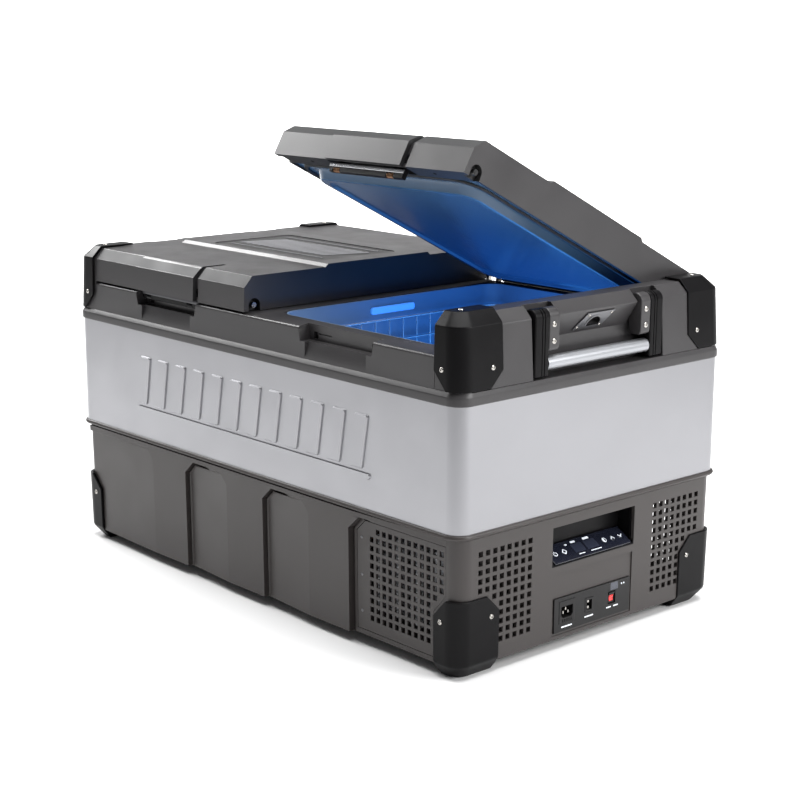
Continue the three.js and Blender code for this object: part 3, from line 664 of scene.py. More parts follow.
def build_grille(side, name):
    inset = 0.5
    centre_x, centre_z = (sum(u) / len(u) for u in zip(*GRILLE_OUTLINE))
    outline = [(x - math.copysign(inset, x - centre_x), z - math.copysign(inset, z - centre_z))
               for x, z in GRILLE_OUTLINE]
    plate = solid("grille", [[(x, side * (wall_y(z) - depth), z) for x, z in outline]
                             for depth in (3.2, 0.1)])
    soften(plate, 0.5, 2)
    holes = Solids()
    for x, z in grille_holes():
        holes.box((x - HOLE, x + HOLE), (side * 275 - 20, side * 275 + 20), (z - HOLE, z + HOLE))
    cut(plate, holes.object("holes"))
    tidy(plate)
    finish_piece(plate, f"{name}_vent_panel", "lower", "case", "lower_plastic",
                 [f"{name}_grille"])
    places = [((262.5, side * (wall_y(z) - 0.4), z), (0, side, 0)) for z in (161.0, 106.0, 52.0)]
    screws(f"{name}_vent_screws", places, "opener", "case", 2.4, 1.0)


def build_foot(corner, sx, sy):
    outer = loft("outer", [(0, 448, 254.5, 20), (3, 450.5, 257, 21), (19, 462.5, 269, 25),
                           (23, 463.3, 269.8, 25), (116, 464.8, 271.3, 25)])
    inner = loft("inner", [(13.7, 452, 258.5, 16), (25, 459.3, 265.0, 20), (140, 460.8, 266.6, 20)])
    shell = keep(cut(outer, inner), guard_region(sx, sy, BELOW, FOOT_TOP, 0.0))
    tidy(shell)
    finish_piece(shell, f"foot_guard_{corner}", "guard", "case", "guard_black",
                 [f"lower_guard_{corner}"], edge=1.0)
    places = [((sx * 431, sy * 270.6, 81), (0, sy, 0)), ((sx * 464.2, sy * 206.5, 83), (sx, 0, 0))]
    screws(f"foot_guard_screws_{corner}", places, "steel", "case", 3.6, 1.6)


# ---------------------------------------------------------------- sleeve with its raised motif

MOTIF_Z = (250.0, 342.0)
MOTIF_HALF = 292.0
MOTIF_PROUD = 2.4


def slanted(x, width, z0, z1, lean):
    """A leaning bar's outline with rounded corners."""
    r = 4.0
    corners = [Vector(p) for p in ((x, z0), (x + width, z0), (x + width + lean, z1), (x + lean, z1))]
    outline = []
    for i, corner in enumerate(corners):
        a = corner + (corners[i - 1] - corner).normalized() * r
        b = corner + (corners[(i + 1) % 4] - corner).normalized() * r
        for step in range(6):
            t = step / 5
            point = a * (1 - t) ** 2 + corner * 2 * t * (1 - t) + b * t ** 2
            outline.append((point.x, point.y))
    return outline


def motif_bars(side):
    """A plain frieze of leaning bars above one long rail, raised from the sheet."""
    bars = Solids()
    skin = sleeve_hi.y

    def raised(outline):
        low = [(x, side * (skin - 0.6), z) for x, z in outline]
        centre = Vector([sum(u) for u in zip(*outline)]) / len(outline)

        def at(by, proud):
            ring = []
            for x, z in outline:
                away = Vector((x, z)) - centre
                scale = max(0.0, 1.0 - by / max(abs(away.x), abs(away.y), 1.0))
                ring.append((centre.x + away.x * scale, side * (skin + proud), centre.y + away.y * scale))
            return ring

        bars.rings([low, at(0.0, 0.0), at(0.6, MOTIF_PROUD * 0.6), at(2.0, MOTIF_PROUD)])

    count = 12
    pitch = 2 * MOTIF_HALF / count
    width = pitch * 0.60
    lean = pitch * 0.28
    for i in range(count):
        x = -MOTIF_HALF + i * pitch
        raised(slanted(x, width, MOTIF_Z[0] + 13, MOTIF_Z[1], lean))
    raised(slanted(-MOTIF_HALF, 2 * MOTIF_HALF - 4, MOTIF_Z[0], MOTIF_Z[0] + 8.5, 2.0))
    return bars


def build_sleeve():
    hi, lo = sleeve_hi, sleeve_lo
    sheet = 1.5
    outer = loft("sleeve", [(z, hi.x, hi.y, 24) for z in (lo.z, hi.z)], steps=20)
    bore = loft("bore", [(z, hi.x - sheet, hi.y - sheet, 24 - sheet) for z in (lo.z - 9, hi.z + 9)],
                steps=20)
    shell = cut(outer, bore)
    for side in SIDES:
        join(shell, motif_bars(side).object("motif"))
    tidy(shell)
    finish_piece(shell, "silver_sleeve", "sleeve", "case", "sleeve_silver", ["sleeve"],
                 smooth=25.0)


# ---------------------------------------------------------------- upper rim

SLOT_BEFORE = 84.0
SLOT_AFTER = 80.0
SLOT_BACK = 249.0
SLOT_FLOOR = 423.5


def lid_centre(side):
    return sum(LIDS[side]) / 2


def build_rim():
    flange = loft("rim", [
        (rim_lo.z, rim_hi.x - 1.2, rim_hi.y - 1.2, 24),
        (rim_lo.z + 1.2, rim_hi.x, rim_hi.y, 25),
        (rim_lo.z + 10.5, rim_hi.x, rim_hi.y, 25),
        (rim_lo.z + 12.5, rim_hi.x - 0.6, rim_hi.y - 0.7, 25),
        (rim_lo.z + 17.7, 465.3, 268.8, 23),
    ])
    top = rim_hi.z
    outline = [(-268.5, 397.0), (-267.6, 440.0)]
    outline += arc((-263.6, 440.4), 4.0, 180, 105, 5)
    outline += [(-250.0, top), (238.0, top), (238.0, 433.0), (267.5, 433.0), (268.5, 397.0)]
    ridge = prism("ridge", outline, "x", -414.0, 414.0)
    rim = join(flange, ridge)
    cuts = []
    for sx in SIDES:
        cuts.append(loft("pocket", [(360, 181.3, 224.3, 32), (top - 3.0, 181.3, 224.3, 32),
                                    (top + 0.1, 184.0, 227.0, 34), (top + 20, 184.0, 227.0, 34)],
                         cx=sx * COMPARTMENT_X))
    for side in LIDS:
        centre = lid_centre(side)
        cuts.append(finger_slot(centre))
        for x in (centre - 66, centre + 62):
            cuts.append(block("catch", (x - 5, x + 5), (-SLOT_BACK - 1, -SLOT_BACK + 6), (426, 436)))
        cuts.append(block("catch_line", (centre - 60, centre - 31), (-SLOT_BACK - 1, -SLOT_BACK + 2),
                          (433, 435.2)))
    cut(rim, *cuts)
    tidy(rim)
    finish_piece(rim, "rim_moulding", "gunmetal", "case", "frame_gunmetal", ["upper_rim"])


def finger_slot(centre):
    """Scooped slot in the front of the rim: a shelf, sloped ends and a sloped lower face."""
    low, high = SLOT_FLOOR, 470.0
    half = (SLOT_BEFORE, SLOT_AFTER)
    narrow = 15.0
    outline = [(centre - half[0], high), (centre - half[0], low + 16), (centre - half[0] + 4, low),
               (centre + half[1] - 4, low), (centre + half[1], low + 16), (centre + half[1], high)]
    slot = prism("slot", outline, "y", -290, -SLOT_BACK)
    apron = prism("apron", [(-290, low + 0.1), (-290, 399.2), (-268.9, 399.2), (-261.0, low + 0.1)],
                  "x", centre - half[0] + narrow, centre + half[1] - narrow)
    return join(slot, apron)


# ---------------------------------------------------------------- end blocks with hand recesses

HANDLE_X = 452.7
HANDLE_Z = 482.5
RECESS_BACK = 438.0
RECESS_Y = 134.0
LIP = (460.5, 484.0)
UNDERCUT_Z = 449.0
ARM_Y = (104.0, 131.0)
STRAP_Y = (84.0, 103.7)


def crown_levels(inset, bottom_drop=0.0):
    return [
        (399 - bottom_drop, 466.5 - inset, 273 - inset, 26 - inset),
        (486, 462 - inset, 270.5 - inset, 26 - inset),
        (503.5 - inset, 444.5 - inset, 252.5 - inset, 16 - inset),
    ]


def crown_rounded():
    return [
        (399, 466.5, 273, 26), (484.2, 462.1, 270.6, 26), (486.6, 461.2, 269.7, 26),
        (502.3, 445.9, 253.9, 17), (503.5, 443.9, 251.9, 16),
    ]


def build_end(side):
    turn = Matrix.Identity(4) if side == "right" else Matrix.Rotation(math.pi, 4, "Z")
    outer = loft("end_block", [
        (block_lo.z, 465, 268.5, 23), (481.5, 459.9, 265.6, 23), (484.5, 458.8, 264.4, 22),
        (497.6, 445.6, 251.5, 15), (block_hi.z, 443.8, 249.8, 14),
    ])
    body = keep(outer, block("half", (block_lo.x, 500), (-300, 300), (380, 520)))
    seats = []
    for sy in SIDES:
        region = guard_region(1, sy, ABOVE, CROWN_BOTTOM, GAP)
        seats.append(cut(region, loft("inner", crown_levels(3.4, 1.0))))
    undercut = prism("undercut", [(500, LIP[1] + 14), (500, 380), (RECESS_BACK, 380),
                                  (RECESS_BACK, UNDERCUT_Z), LIP], "y", -82.0, 82.0)
    slots = [block("arm_slot", (RECESS_BACK, 500), mirrored((81.0, RECESS_Y), sy), (380, 520))
             for sy in SIDES]
    tools = [*seats, undercut, *slots]
    if side == "right":
        tools.append(opener_pocket())
    cut(body, *tools)
    tidy(body)
    body.data.transform(turn)
    finish_piece(body, f"end_moulding_{side}", "gunmetal", "case", "frame_gunmetal",
                 [f"end_block_{side}"], edge=0.5)
    build_handle(side, turn)


def handle_outline(bottom, foot_radius):
    """Side view of an arm or a strap: straight sides, round top, rounded foot."""
    back, front = 440.6, 464.5
    outline = arc((HANDLE_X, HANDLE_Z), 12.3, 0, 180, 14)
    outline += arc((back + foot_radius + 0.3, bottom + foot_radius), foot_radius, 180, 270, 5)
    outline += arc((front - foot_radius, bottom + foot_radius), foot_radius, 270, 350, 5)
    return outline


def build_handle(side, turn):
    body = f"handle_{side}"
    ends = ("front", "rear") if side == "right" else ("rear", "front")
    for sy, end in zip(SIDES, ends):
        arm = prism("arm", handle_outline(401.5, 3.0), "y", *mirrored(ARM_Y, sy))
        soften(arm, 2.2, 3)
        groove_y = sy * (ARM_Y[0] + 8.5)
        grooves = []
        for shift, depth in ((0.0, 1.6), (sy * 5.0, 1.0)):
            ring = prism("ring", handle_outline(380.0, 3.0), "y", groove_y + shift - 0.8,
                         groove_y + shift + 0.8)
            core = prism("core", [(u - math.copysign(depth, u - HANDLE_X),
                                   v - (depth if v > HANDLE_Z - 1 else 0))
                                  for u, v in handle_outline(370.0, 3.0)], "y",
                         groove_y + shift - 2, groove_y + shift + 2)
            grooves.append(cut(ring, core))
        cut(arm, *grooves)
        join(arm, rod("pin", "y", 3.0, *mirrored((ARM_Y[1] - 2, RECESS_Y + 5.5), sy),
                      (HANDLE_X, HANDLE_Z), 24))
        tidy(arm)
        arm.data.transform(turn)
        finish_piece(arm, f"grip_arm_{side}_{end}", "guard", body, "guard_black",
                     [f"handle_{side}_arm_{end}"])
        strap = prism("strap", handle_outline(435.0, 7.0), "y", *mirrored(STRAP_Y, sy))
        soften(strap, 1.6, 3)
        strap.data.transform(turn)
        finish_piece(strap, f"grip_strap_{side}_{end}", "gunmetal", body, "frame_gunmetal",
                     [f"handle_{side}_strap_{end}"])
    places = [(turn @ Vector((464.6, sy * 94.5, z)), turn.to_3x3() @ Vector((1, 0, 0.02)))
              for sy in SIDES for z in (449.0, 472.0)]
    screws(f"grip_screws_{side}", places, "steel", body, 4.0, 1.2)
    reach = tube_hi.y
    radius = (tube_hi.z - tube_lo.z) / 2
    centre = (tube_lo.x + tube_hi.x) / 2, (tube_lo.z + tube_hi.z) / 2
    grip = solid("grip", [[(u, y, v) for u, v in circle(r, centre, 48)] for y, r in (
        (-reach, radius - 1), (-reach + 1, radius), (reach - 1, radius), (reach, radius - 1))])
    grip.data.transform(turn)
    finish_piece(grip, f"grip_tube_{side}", "aluminium", body, "grip_aluminium",
                 [f"handle_{side}_tube"], smooth=50.0)


def slope_matrix():
    """The inclined face under the right grip."""
    return incline(Vector((RECESS_BACK, 0, UNDERCUT_Z)), Vector((LIP[0], 0, LIP[1])), 0.3)


def mouth_outline(radius):
    return [(-1 + radius, -8)] + arc((-1, -6), radius, 0, 180, 16) + [(-1 - radius, -8)]


def opener_pocket():
    return Solids().prism(mouth_outline(14), "z", -12, 5, slope_matrix()).object("pocket")


def build_opener():
    face = slope_matrix()
    plate = prism("opener", [(-36, -14), (20, -14), (36, 14), (-20, 14)], "z", 0, 2)
    soften(plate, 0.7, 2)
    cut(plate, prism("mouth", mouth_outline(13), "z", -5, 9))
    rings = [level(mouth_outline(r), w) for r, w in
             ((15.6, 1.4), (15.2, 2.9), (13.6, 3.1), (13.0, 2.4), (13.0, 1.4))]
    join(plate, solid("lip", rings, loop=True))
    tidy(plate)
    plate.data.transform(metres(face))
    finish_piece(plate, "cap_opener", "opener", "case", "stainless_steel", ["bottle_opener"])
    out = face.to_3x3() @ Vector((0, 0, 1))
    places = [(face @ Vector((u, v, 1.9)), out)
              for u, v in ((-30, -10), (16, -10), (30, 10), (-16, 10))]
    screws("opener_screws", places, "steel", "case", 2.2, 1.0)


def build_crown(corner, sx, sy):
    shell = cut(loft("crown", crown_rounded()), loft("inner", crown_levels(3.0, 1.0)))
    keep(shell, guard_region(sx, sy, ABOVE, CROWN_BOTTOM, 0.0))
    tidy(shell)
    finish_piece(shell, f"top_guard_{corner}", "guard", "case", "guard_black",
                 [f"upper_guard_{corner}"], edge=0.8)
    places = [((sx * 432, sy * 272.0, 428), (0, sy, 0.03)),
              ((sx * 464.9, sy * 210, 428), (sx, 0, 0.05)),
              ((sx * 430, sy * 236, 503.3), (0, 0, 1))]
    screws(f"top_guard_screws_{corner}", places, "steel", "case", 3.6, 1.4)


# ---------------------------------------------------------------- lids

LID_FRONT = 267.5
LID_TOP = 500.0
TAB_BEFORE = 82.0
TAB_AFTER = 78.0
GROOVE = 9.0
PLATEAU = (-110.0, -105.0, 103.0, 108.0)


def lid_outline():
    front = [(-LID_FRONT, LID_BOTTOM), (-265.6, 483.2)]
    front += arc((-263.8, 483.0), 1.9, 175, 140, 3)
    front += [(-250.9, 499.3), (-249.6, LID_TOP)]
    rear = [(249.2, LID_TOP), (250.6, 499.3), (262.8, 485.2), (263.5, 483.4), (LID_FRONT, LID_BOTTOM)]
    return front + rear


def lid_tab(centre):
    """The raised pull tab over the latch, which blends into the lid's top."""
    outline = [(-270.8, LID_BOTTOM + 0.6), (-269.2, 483.4), (-268.4, 485.2), (-254.6, 497.5),
               (-249.8, 499.9), (-240.0, 499.6), (-240.0, 490.0), (-262.0, 490.0),
               (-262.0, LID_BOTTOM + 0.6)]
    tab = prism("tab", outline, "x", centre - TAB_BEFORE, centre + TAB_AFTER)
    slant = 12.0
    trim = prism("trim", [(centre - TAB_BEFORE - 1, 520), (centre - TAB_BEFORE - 1, 496),
                          (centre - TAB_BEFORE + slant, 512)], "y", -300, -100)
    return cut(tab, trim)


def lid_groove(centre):
    outline = [(-300, 440), (-300, 530), (-204, 530), (-212, 496.2), (-248.7, 496.2),
               (-262.2, 482.4), (-264.0, 440)]
    return prism("groove", outline, "x", centre + TAB_AFTER, centre + TAB_AFTER + GROOVE)


def plateau(x0, x1):
    """The raised field of a lid's top, with bevelled ends."""
    y0, y1, y2, y3 = PLATEAU
    high = 504.7
    return solid("plateau", [
        [(x, front, z), (x1, front, z), (x1, rear, z), (x, rear, z)]
        for x, front, rear, z in ((x0, y0 - 1.5, y3 + 1.5, 498.0), (x0 + 1.5, y0, y3, high - 4.7),
                                  (x0 + 7.0, y1, y2, high))])


BADGE_WIDTH = 286.0
BADGE_FLOOR = 503.4
BADGE_Y = (-92.0, 70.0)
PIN_AT = (-247.5, 456)  # the side pins of a lid, in y and z


def badge_span(side):
    """Left and right end of the recess in a lid's top."""
    left = lid_centre(side) + 208.0 - 326.0
    return left, left + BADGE_WIDTH


def badge_loft(name, side, levels):
    """Rounded levels of (z, how much smaller than the recess, corner radius), centred in it."""
    x0, x1 = badge_span(side)
    half_x, half_y = BADGE_WIDTH / 2, (BADGE_Y[1] - BADGE_Y[0]) / 2
    obj = loft(name, [(z, half_x - less, half_y - less, r) for z, less, r in levels], cx=(x0 + x1) / 2)
    obj.data.transform(Matrix.Translation((0, sum(BADGE_Y) / 2 * MM, 0)))
    return obj


def build_lid_shell(side):
    x0, x1 = LIDS[side]
    centre = lid_centre(side)
    shell = prism("lid", lid_outline(), "x", x0, x1)
    join(shell, lid_tab(centre))
    join(shell, plateau(x0 + 20.5, x1))
    cuts = [
        lid_groove(centre),
        badge_loft("badge", side, [(BADGE_FLOOR, 0.0, 12), (510.0, -0.6, 12)]),
        block("pocket", (x0 + 5, x1 - 5), (-236, 236), (400, 496.5)),
        block("latch_pocket", (centre - 84, centre + 84), (-263.4, -238), (400, 467)),
        join(rod("rod_channel", "x", 4.8, x0 - 1, x1 + 1, (HINGE_Y, HINGE_Z), 24),
             block("rod_way", (x0 - 1, x1 + 1), (HINGE_Y - 4.8, HINGE_Y + 4.8), (400, HINGE_Z))),
    ]
    for lo, hi in ((x0 - 1, x0 + 10), (x1 - 10, x1 + 1)):
        cuts.append(join(block("notch", (lo, hi), (-258, -237), (400, PIN_AT[1])),
                         rod("notch_top", "x", 10.5, lo, hi, PIN_AT, 32)))
        cuts.append(block("hinge_notch", (lo, hi), (HINGE_Y - 11, 290), (400, 467)))
    cut(shell, *cuts)
    for offset in (-130.0, 130.0):
        cut(shell, rod("dimple", "z", 3.0, 400, LID_BOTTOM + 3, (centre + offset, -251), 20))
    tidy(shell)
    # painted shade: the cover's downward faces and the faces inside its pocket take the black gasket
    # rubber, so they read as dark as the shade under the lid
    for look in ("gunmetal", "gasket"):
        shell.data.materials.append(looks[look])
    for face in shell.data.polygons:
        if face.normal.z < -0.9 or abs(face.center.y) < 262 * MM and face.center.z < 496 * MM \
                and x0 + 1 < face.center.x / MM < x1 - 1:
            face.material_index = 1
    return shell


def badge_inlay(side):
    return badge_loft("inlay", side, [(503.3, 1.5, 10), (503.7, 1.5, 10), (503.8, 1.9, 10)])


def badge_texture(side):
    """A plain field of raised diagonal ribs inside the badge recess, in place of any mark."""
    ribs = Solids()
    lean, edge = 26.0, 22.0
    lo, hi = badge_span(side)
    lo, hi = lo + edge, hi - edge
    y0, y1 = BADGE_Y[0] + 42.0, BADGE_Y[1] - 42.0

    def bar(x, inset):
        return [(x + inset, y0 + inset), (x + 7.0 - inset, y0 + inset),
                (x + 7.0 - inset + lean, y1 - inset), (x + lean + inset, y1 - inset)]

    x = lo
    while x < hi - lean:
        ribs.rings([level(bar(x, inset), z) for inset, z in
                    ((0.0, BADGE_FLOOR), (0.0, 504.3), (0.8, 504.7))])
        x += 15.0
    for y in (BADGE_Y[0] + 22.0, BADGE_Y[1] - 24.0):
        ribs.box((lo, hi), (y, y + 3.0), (BADGE_FLOOR, 504.6))
    return ribs.object("badge_ribs")


def swing(obj, side):
    """Turns a piece built on the closed lid to where the lid stands at rest."""
    angle = LID_ANGLES[side]
    pivot = Vector((0, HINGE_Y * MM, HINGE_Z * MM))
    obj.data.transform(Matrix.Translation(pivot) @ Matrix.Rotation(-angle, 4, "X")
                       @ Matrix.Translation(-pivot))
    return obj


SPRING_SPANS = ((-70.0, -55.0), (44.0, 59.0))


def spring_path(x0, x1, turns, radius, centre):
    per_turn = 14
    steps = turns * per_turn
    return [(x0 + (x1 - x0) * i / steps,
             centre[0] + radius * math.cos(2 * math.pi * i / per_turn),
             centre[1] + radius * math.sin(2 * math.pi * i / per_turn)) for i in range(steps + 1)]


def hung_piece(obj, part, name, side, look, slot, stands_for=(), **finish):
    """A piece of a lid or its latch, built on the closed lid."""
    finish_piece(swing(obj, side), f"{part}_{name}_{side}", look, f"{part}_{side}", slot,
                 stands_for, **finish)


def build_lid(side):
    x0, x1 = LIDS[side]
    centre = lid_centre(side)
    hung_piece(build_lid_shell(side), "lid", "cover", side, "gunmetal", "frame_gunmetal",
               [f"lid_shell_{side}"])
    hung_piece(badge_inlay(side), "lid", "badge_inlay", side, "badge", "panel_black")
    hung_piece(badge_texture(side), "lid", "badge_ribs", side, "badge_rib", "grip_aluminium")

    cx = math.copysign(COMPARTMENT_X, centre)
    plate = loft("plate", [(z, (x1 - x0) / 2 - 5.4, 235.6, 6) for z in (450.2, 453)], cx=centre)
    plug = loft("plug", [(437, 164, 203, 24), (438.2, 167, 206, 27), (446.5, 171.5, 210.5, 30),
                         (451, 175, 214, 32)], cx=cx)
    join(plate, plug)
    hollow = loft("hollow", [(440.6, 150, 189, 22), (439.9, 154, 193, 25), (436.0, 158, 197, 27),
                             (430, 158, 197, 27)][::-1], cx=cx)
    back = loft("back", [(443, 160, 199, 22), (470, 168, 207, 26)], cx=cx)
    cut(plate, hollow, back)
    tidy(plate)
    hung_piece(plate, "lid", "inner", side, "lid_liner", "liner_white", [f"lid_liner_{side}"])

    section = [(-3.5, 449.8), (-3.5, 448.2), (-2.2, 446.9), (0.0, 447.5),
               (2.2, 446.9), (3.5, 448.2), (3.5, 449.8)]
    rings = [level(rounded_ring(185.5 + off, 230 + off, 36.5 + off, cx), z) for off, z in section]
    hung_piece(solid("gasket", rings, loop=True), "lid", "seal", side, "gasket", "gasket_rubber",
               [f"lid_gasket_{side}"], smooth=60.0)

    skirt = cut(block("skirt", (x0 + 5.3, x1 - 5.3), (-235.7, 235.7), (453.3, 456)),
                loft("skirt_hole", [(440, 170, 209, 28), (470, 170, 209, 28)], cx=cx))
    hung_piece(skirt, "lid", "backing", side, "lid_liner", "liner_white")

    pins = Solids()
    for x in (x0 + 4.0, x1 - 4.0):
        for r, lo, hi in ((4.2, x - 3.4, x + 3.4), (2.4, x - 3.8, x + 3.8)):
            pins.prism(circle(r, PIN_AT, 24), "x", lo, hi)
    # painted shade: the right lid's steel pins take the black enamel, standing for the shade inside their
    # notches
    hung_piece(pins.object("pins"), "lid", "side_pins", side,
               "steel" if side == "left" else "machine", "stainless_steel", smooth=40)
    build_latch(side, centre)


def build_latch(side, centre):
    outline = [(-258.6, 434.2), (-258.0, 433.5), (-251.4, 433.5), (-250.6, 434.4), (-250.6, 445.2),
               (-251.4, 446.0), (-258.6, 446.0)]
    carrier = prism("carrier", outline, "x", centre - 77.6, centre + 77.6)
    cut(carrier, *[block("window", (centre + a, centre + b), (-270, -253.0), (430, 440.6))
                   for a, b in SPRING_SPANS])
    hung_piece(carrier, "latch", "carrier", side, "guard", "guard_black", [f"latch_bar_{side}"])
    strip = prism("strip", [(-260.0, 441.4), (-259.4, 440.8), (-258.4, 440.8), (-258.4, 446.3),
                            (-259.4, 446.3), (-260.0, 445.7)], "x", centre - 78, centre + 78)
    # painted shade: the left strip takes a darkened copy of the aluminium, standing for the shade under the
    # closed lid's tab
    hung_piece(strip, "latch", "grip", side, "bar" if side == "right" else "bar_painted_shade",
               "grip_aluminium", smooth=50.0)
    arms = Solids()
    for offset in (-62, 50):
        arms.prism([(-260, 443), (-250.6, 443), (-244, 459), (-247, 462.5), (-250, 460)], "x",
                   centre + offset, centre + offset + 12)
    arms.prism(circle(2.6, (-247, 459), 20), "x", centre - 81.5, centre + 81.5)
    hung_piece(arms.object("arms"), "latch", "arms", side, "guard", "guard_black", smooth=40)
    paths = [spring_path(centre + a + 1, centre + b - 1, 4, 3.2, (-255.4, 437.0))
             for a, b in SPRING_SPANS]
    # painted shade: the left latch's springs take the black enamel in place of their copper, standing for
    # the shade in the closed lid's slot
    hung_piece(tube("springs", paths, 0.8), "latch", "springs", side,
               "spring" if side == "right" else "machine", "copper_pipe", smooth=60.0)


# ---------------------------------------------------------------- inside the compartments


def build_tub(side):
    cx = math.copysign(COMPARTMENT_X, lid_centre(side))
    lo, hi = span(f"liner_{side}")
    x, y = COMPARTMENT_HALF
    r = COMPARTMENT_CORNER
    shell = loft("tub", [(lo.z, x + 2 - 8, y + 2 - 8, r - 6), (lo.z + 2.4, x - 0.4, y - 0.4, r),
                         (lo.z + 8, x + 2, y + 2, r + 2), (hi.z, x + 2, y + 2, r + 2)], cx=cx)
    hollow = loft("hollow", [(lo.z + 2, x - 10, y - 10, r - 8), (lo.z + 4.4, x - 2.4, y - 2.4, r - 2),
                             (lo.z + 10, x, y, r), (hi.z + 9, x, y, r)], cx=cx)
    cut(shell, hollow)
    tidy(shell)
    finish_piece(shell, f"compartment_liner_{side}", "liner", "case", "liner_white",
                 [f"liner_{side}"], smooth=50.0)


def build_basket(side):
    lo, hi = span(f"basket_{side}")
    cx, half_x, half_y = (lo.x + hi.x) / 2, (hi.x - lo.x) / 2 - 1.6, (hi.y - lo.y) / 2 - 1.6
    radius, pitch, rows = 24.0, 27.0, 4
    top, bottom = hi.z - 1.8, lo.z + 2.0

    def loop(z, inset=0.0):
        return level(rounded_ring(half_x - inset, half_y - inset, radius - inset, cx, steps=8), z)

    def hoop(half):
        """An upright wire: down one side, under the basket and up the other, as (along, z)."""
        return [(-half, top), (-half, bottom + 14), (-half + 6, bottom + 3), (-half + 16, bottom),
                (half - 16, bottom), (half - 6, bottom + 3), (half, bottom + 14), (half, top)]

    heavy = [loop(top), loop(top - 34.0), loop(bottom + 3.0, 3.0)]
    light = [loop(bottom + 12 + (top - 46 - bottom) * k / rows, 1.2) for k in range(1, rows)]
    reach_x, reach_y = half_x - radius, half_y - radius
    columns, lines = int(2 * reach_x / pitch), int(2 * reach_y / pitch)
    uprights = [[(cx - reach_x + i * 2 * reach_x / columns, u, z) for u, z in hoop(half_y)]
                for i in range(columns + 1)]
    uprights += [[(cx + u, -reach_y + i * 2 * reach_y / lines, z) for u, z in hoop(half_x)]
                 for i in range(lines + 1)]
    for part, paths, thick, closed, stands_for in (
            ("hoops", heavy, 1.7, True, [f"basket_{side}"]), ("rails", light, 1.1, True, ()),
            ("grid", uprights, 1.2, False, ())):
        finish_piece(tube(part, paths, thick, closed), f"basket_{part}_{side}", "wire",
                     f"basket_{side}", "basket_wire", stands_for, smooth=60.0)


def build_light(side):
    lo, hi = span(f"led_light_{side}")
    half_y, half_z = (hi.y - lo.y) / 2, (hi.z - lo.z) / 2
    lens = loft("lens", [(0.0, half_y, half_z, 4), (3.0, half_y, half_z, 4),
                         (4.2, half_y - 1.5, half_z - 1.5, 3)])
    sign = math.copysign(1, lo.x)
    centre = Vector(((lo.x if sign > 0 else hi.x), 0, (lo.z + hi.z) / 2))
    lens.data.transform(metres(face_frame(centre, (sign, 0, 0))))
    finish_piece(lens, f"lamp_lens_{side}", "lens", "case", "light_lens", [f"led_light_{side}"])


# ---------------------------------------------------------------- controls

FASCIA_LOW = Vector((464.2, 0, 125.3))
FASCIA_HIGH = Vector((432.0, 0, 146.0))
FASCIA_LIFT = 0.3  # above the line between the two
ICON_RISE = 0.14
BUTTONS = {"power": -67.0, "set": -48.5, "mode": 35.5, "up": 52.5, "down": 69.5}


def fascia_matrix(lift):
    return incline(FASCIA_LOW, FASCIA_HIGH, lift)


def stroke(points, width, closed=False):
    """Outline of a thick line through points."""
    count = len(points)
    left, right = [], []
    for i, point in enumerate(points):
        here = Vector(point)
        before = Vector(points[i - 1]) if i or closed else here
        after = Vector(points[(i + 1) % count]) if i + 1 < count or closed else here
        along = ((here - before).normalized() + (after - here).normalized()).normalized()
        side = Vector((-along.y, along.x))
        first = (after - here) if i == 0 and not closed else (here - before)
        bend = max(0.5, abs(side.dot(Vector((-first.y, first.x)).normalized())))
        left.append(here + side * width / 2 / bend)
        right.append(here - side * width / 2 / bend)
    return left, right


def icon_line(solids, points, width, place, closed=False):
    rings = [[(a.x, a.y, 0.0), (a.x, a.y, ICON_RISE), (b.x, b.y, ICON_RISE), (b.x, b.y, 0.0)]
             for a, b in zip(*stroke(points, width, closed))]
    solids.rings(rings, place, loop=closed)


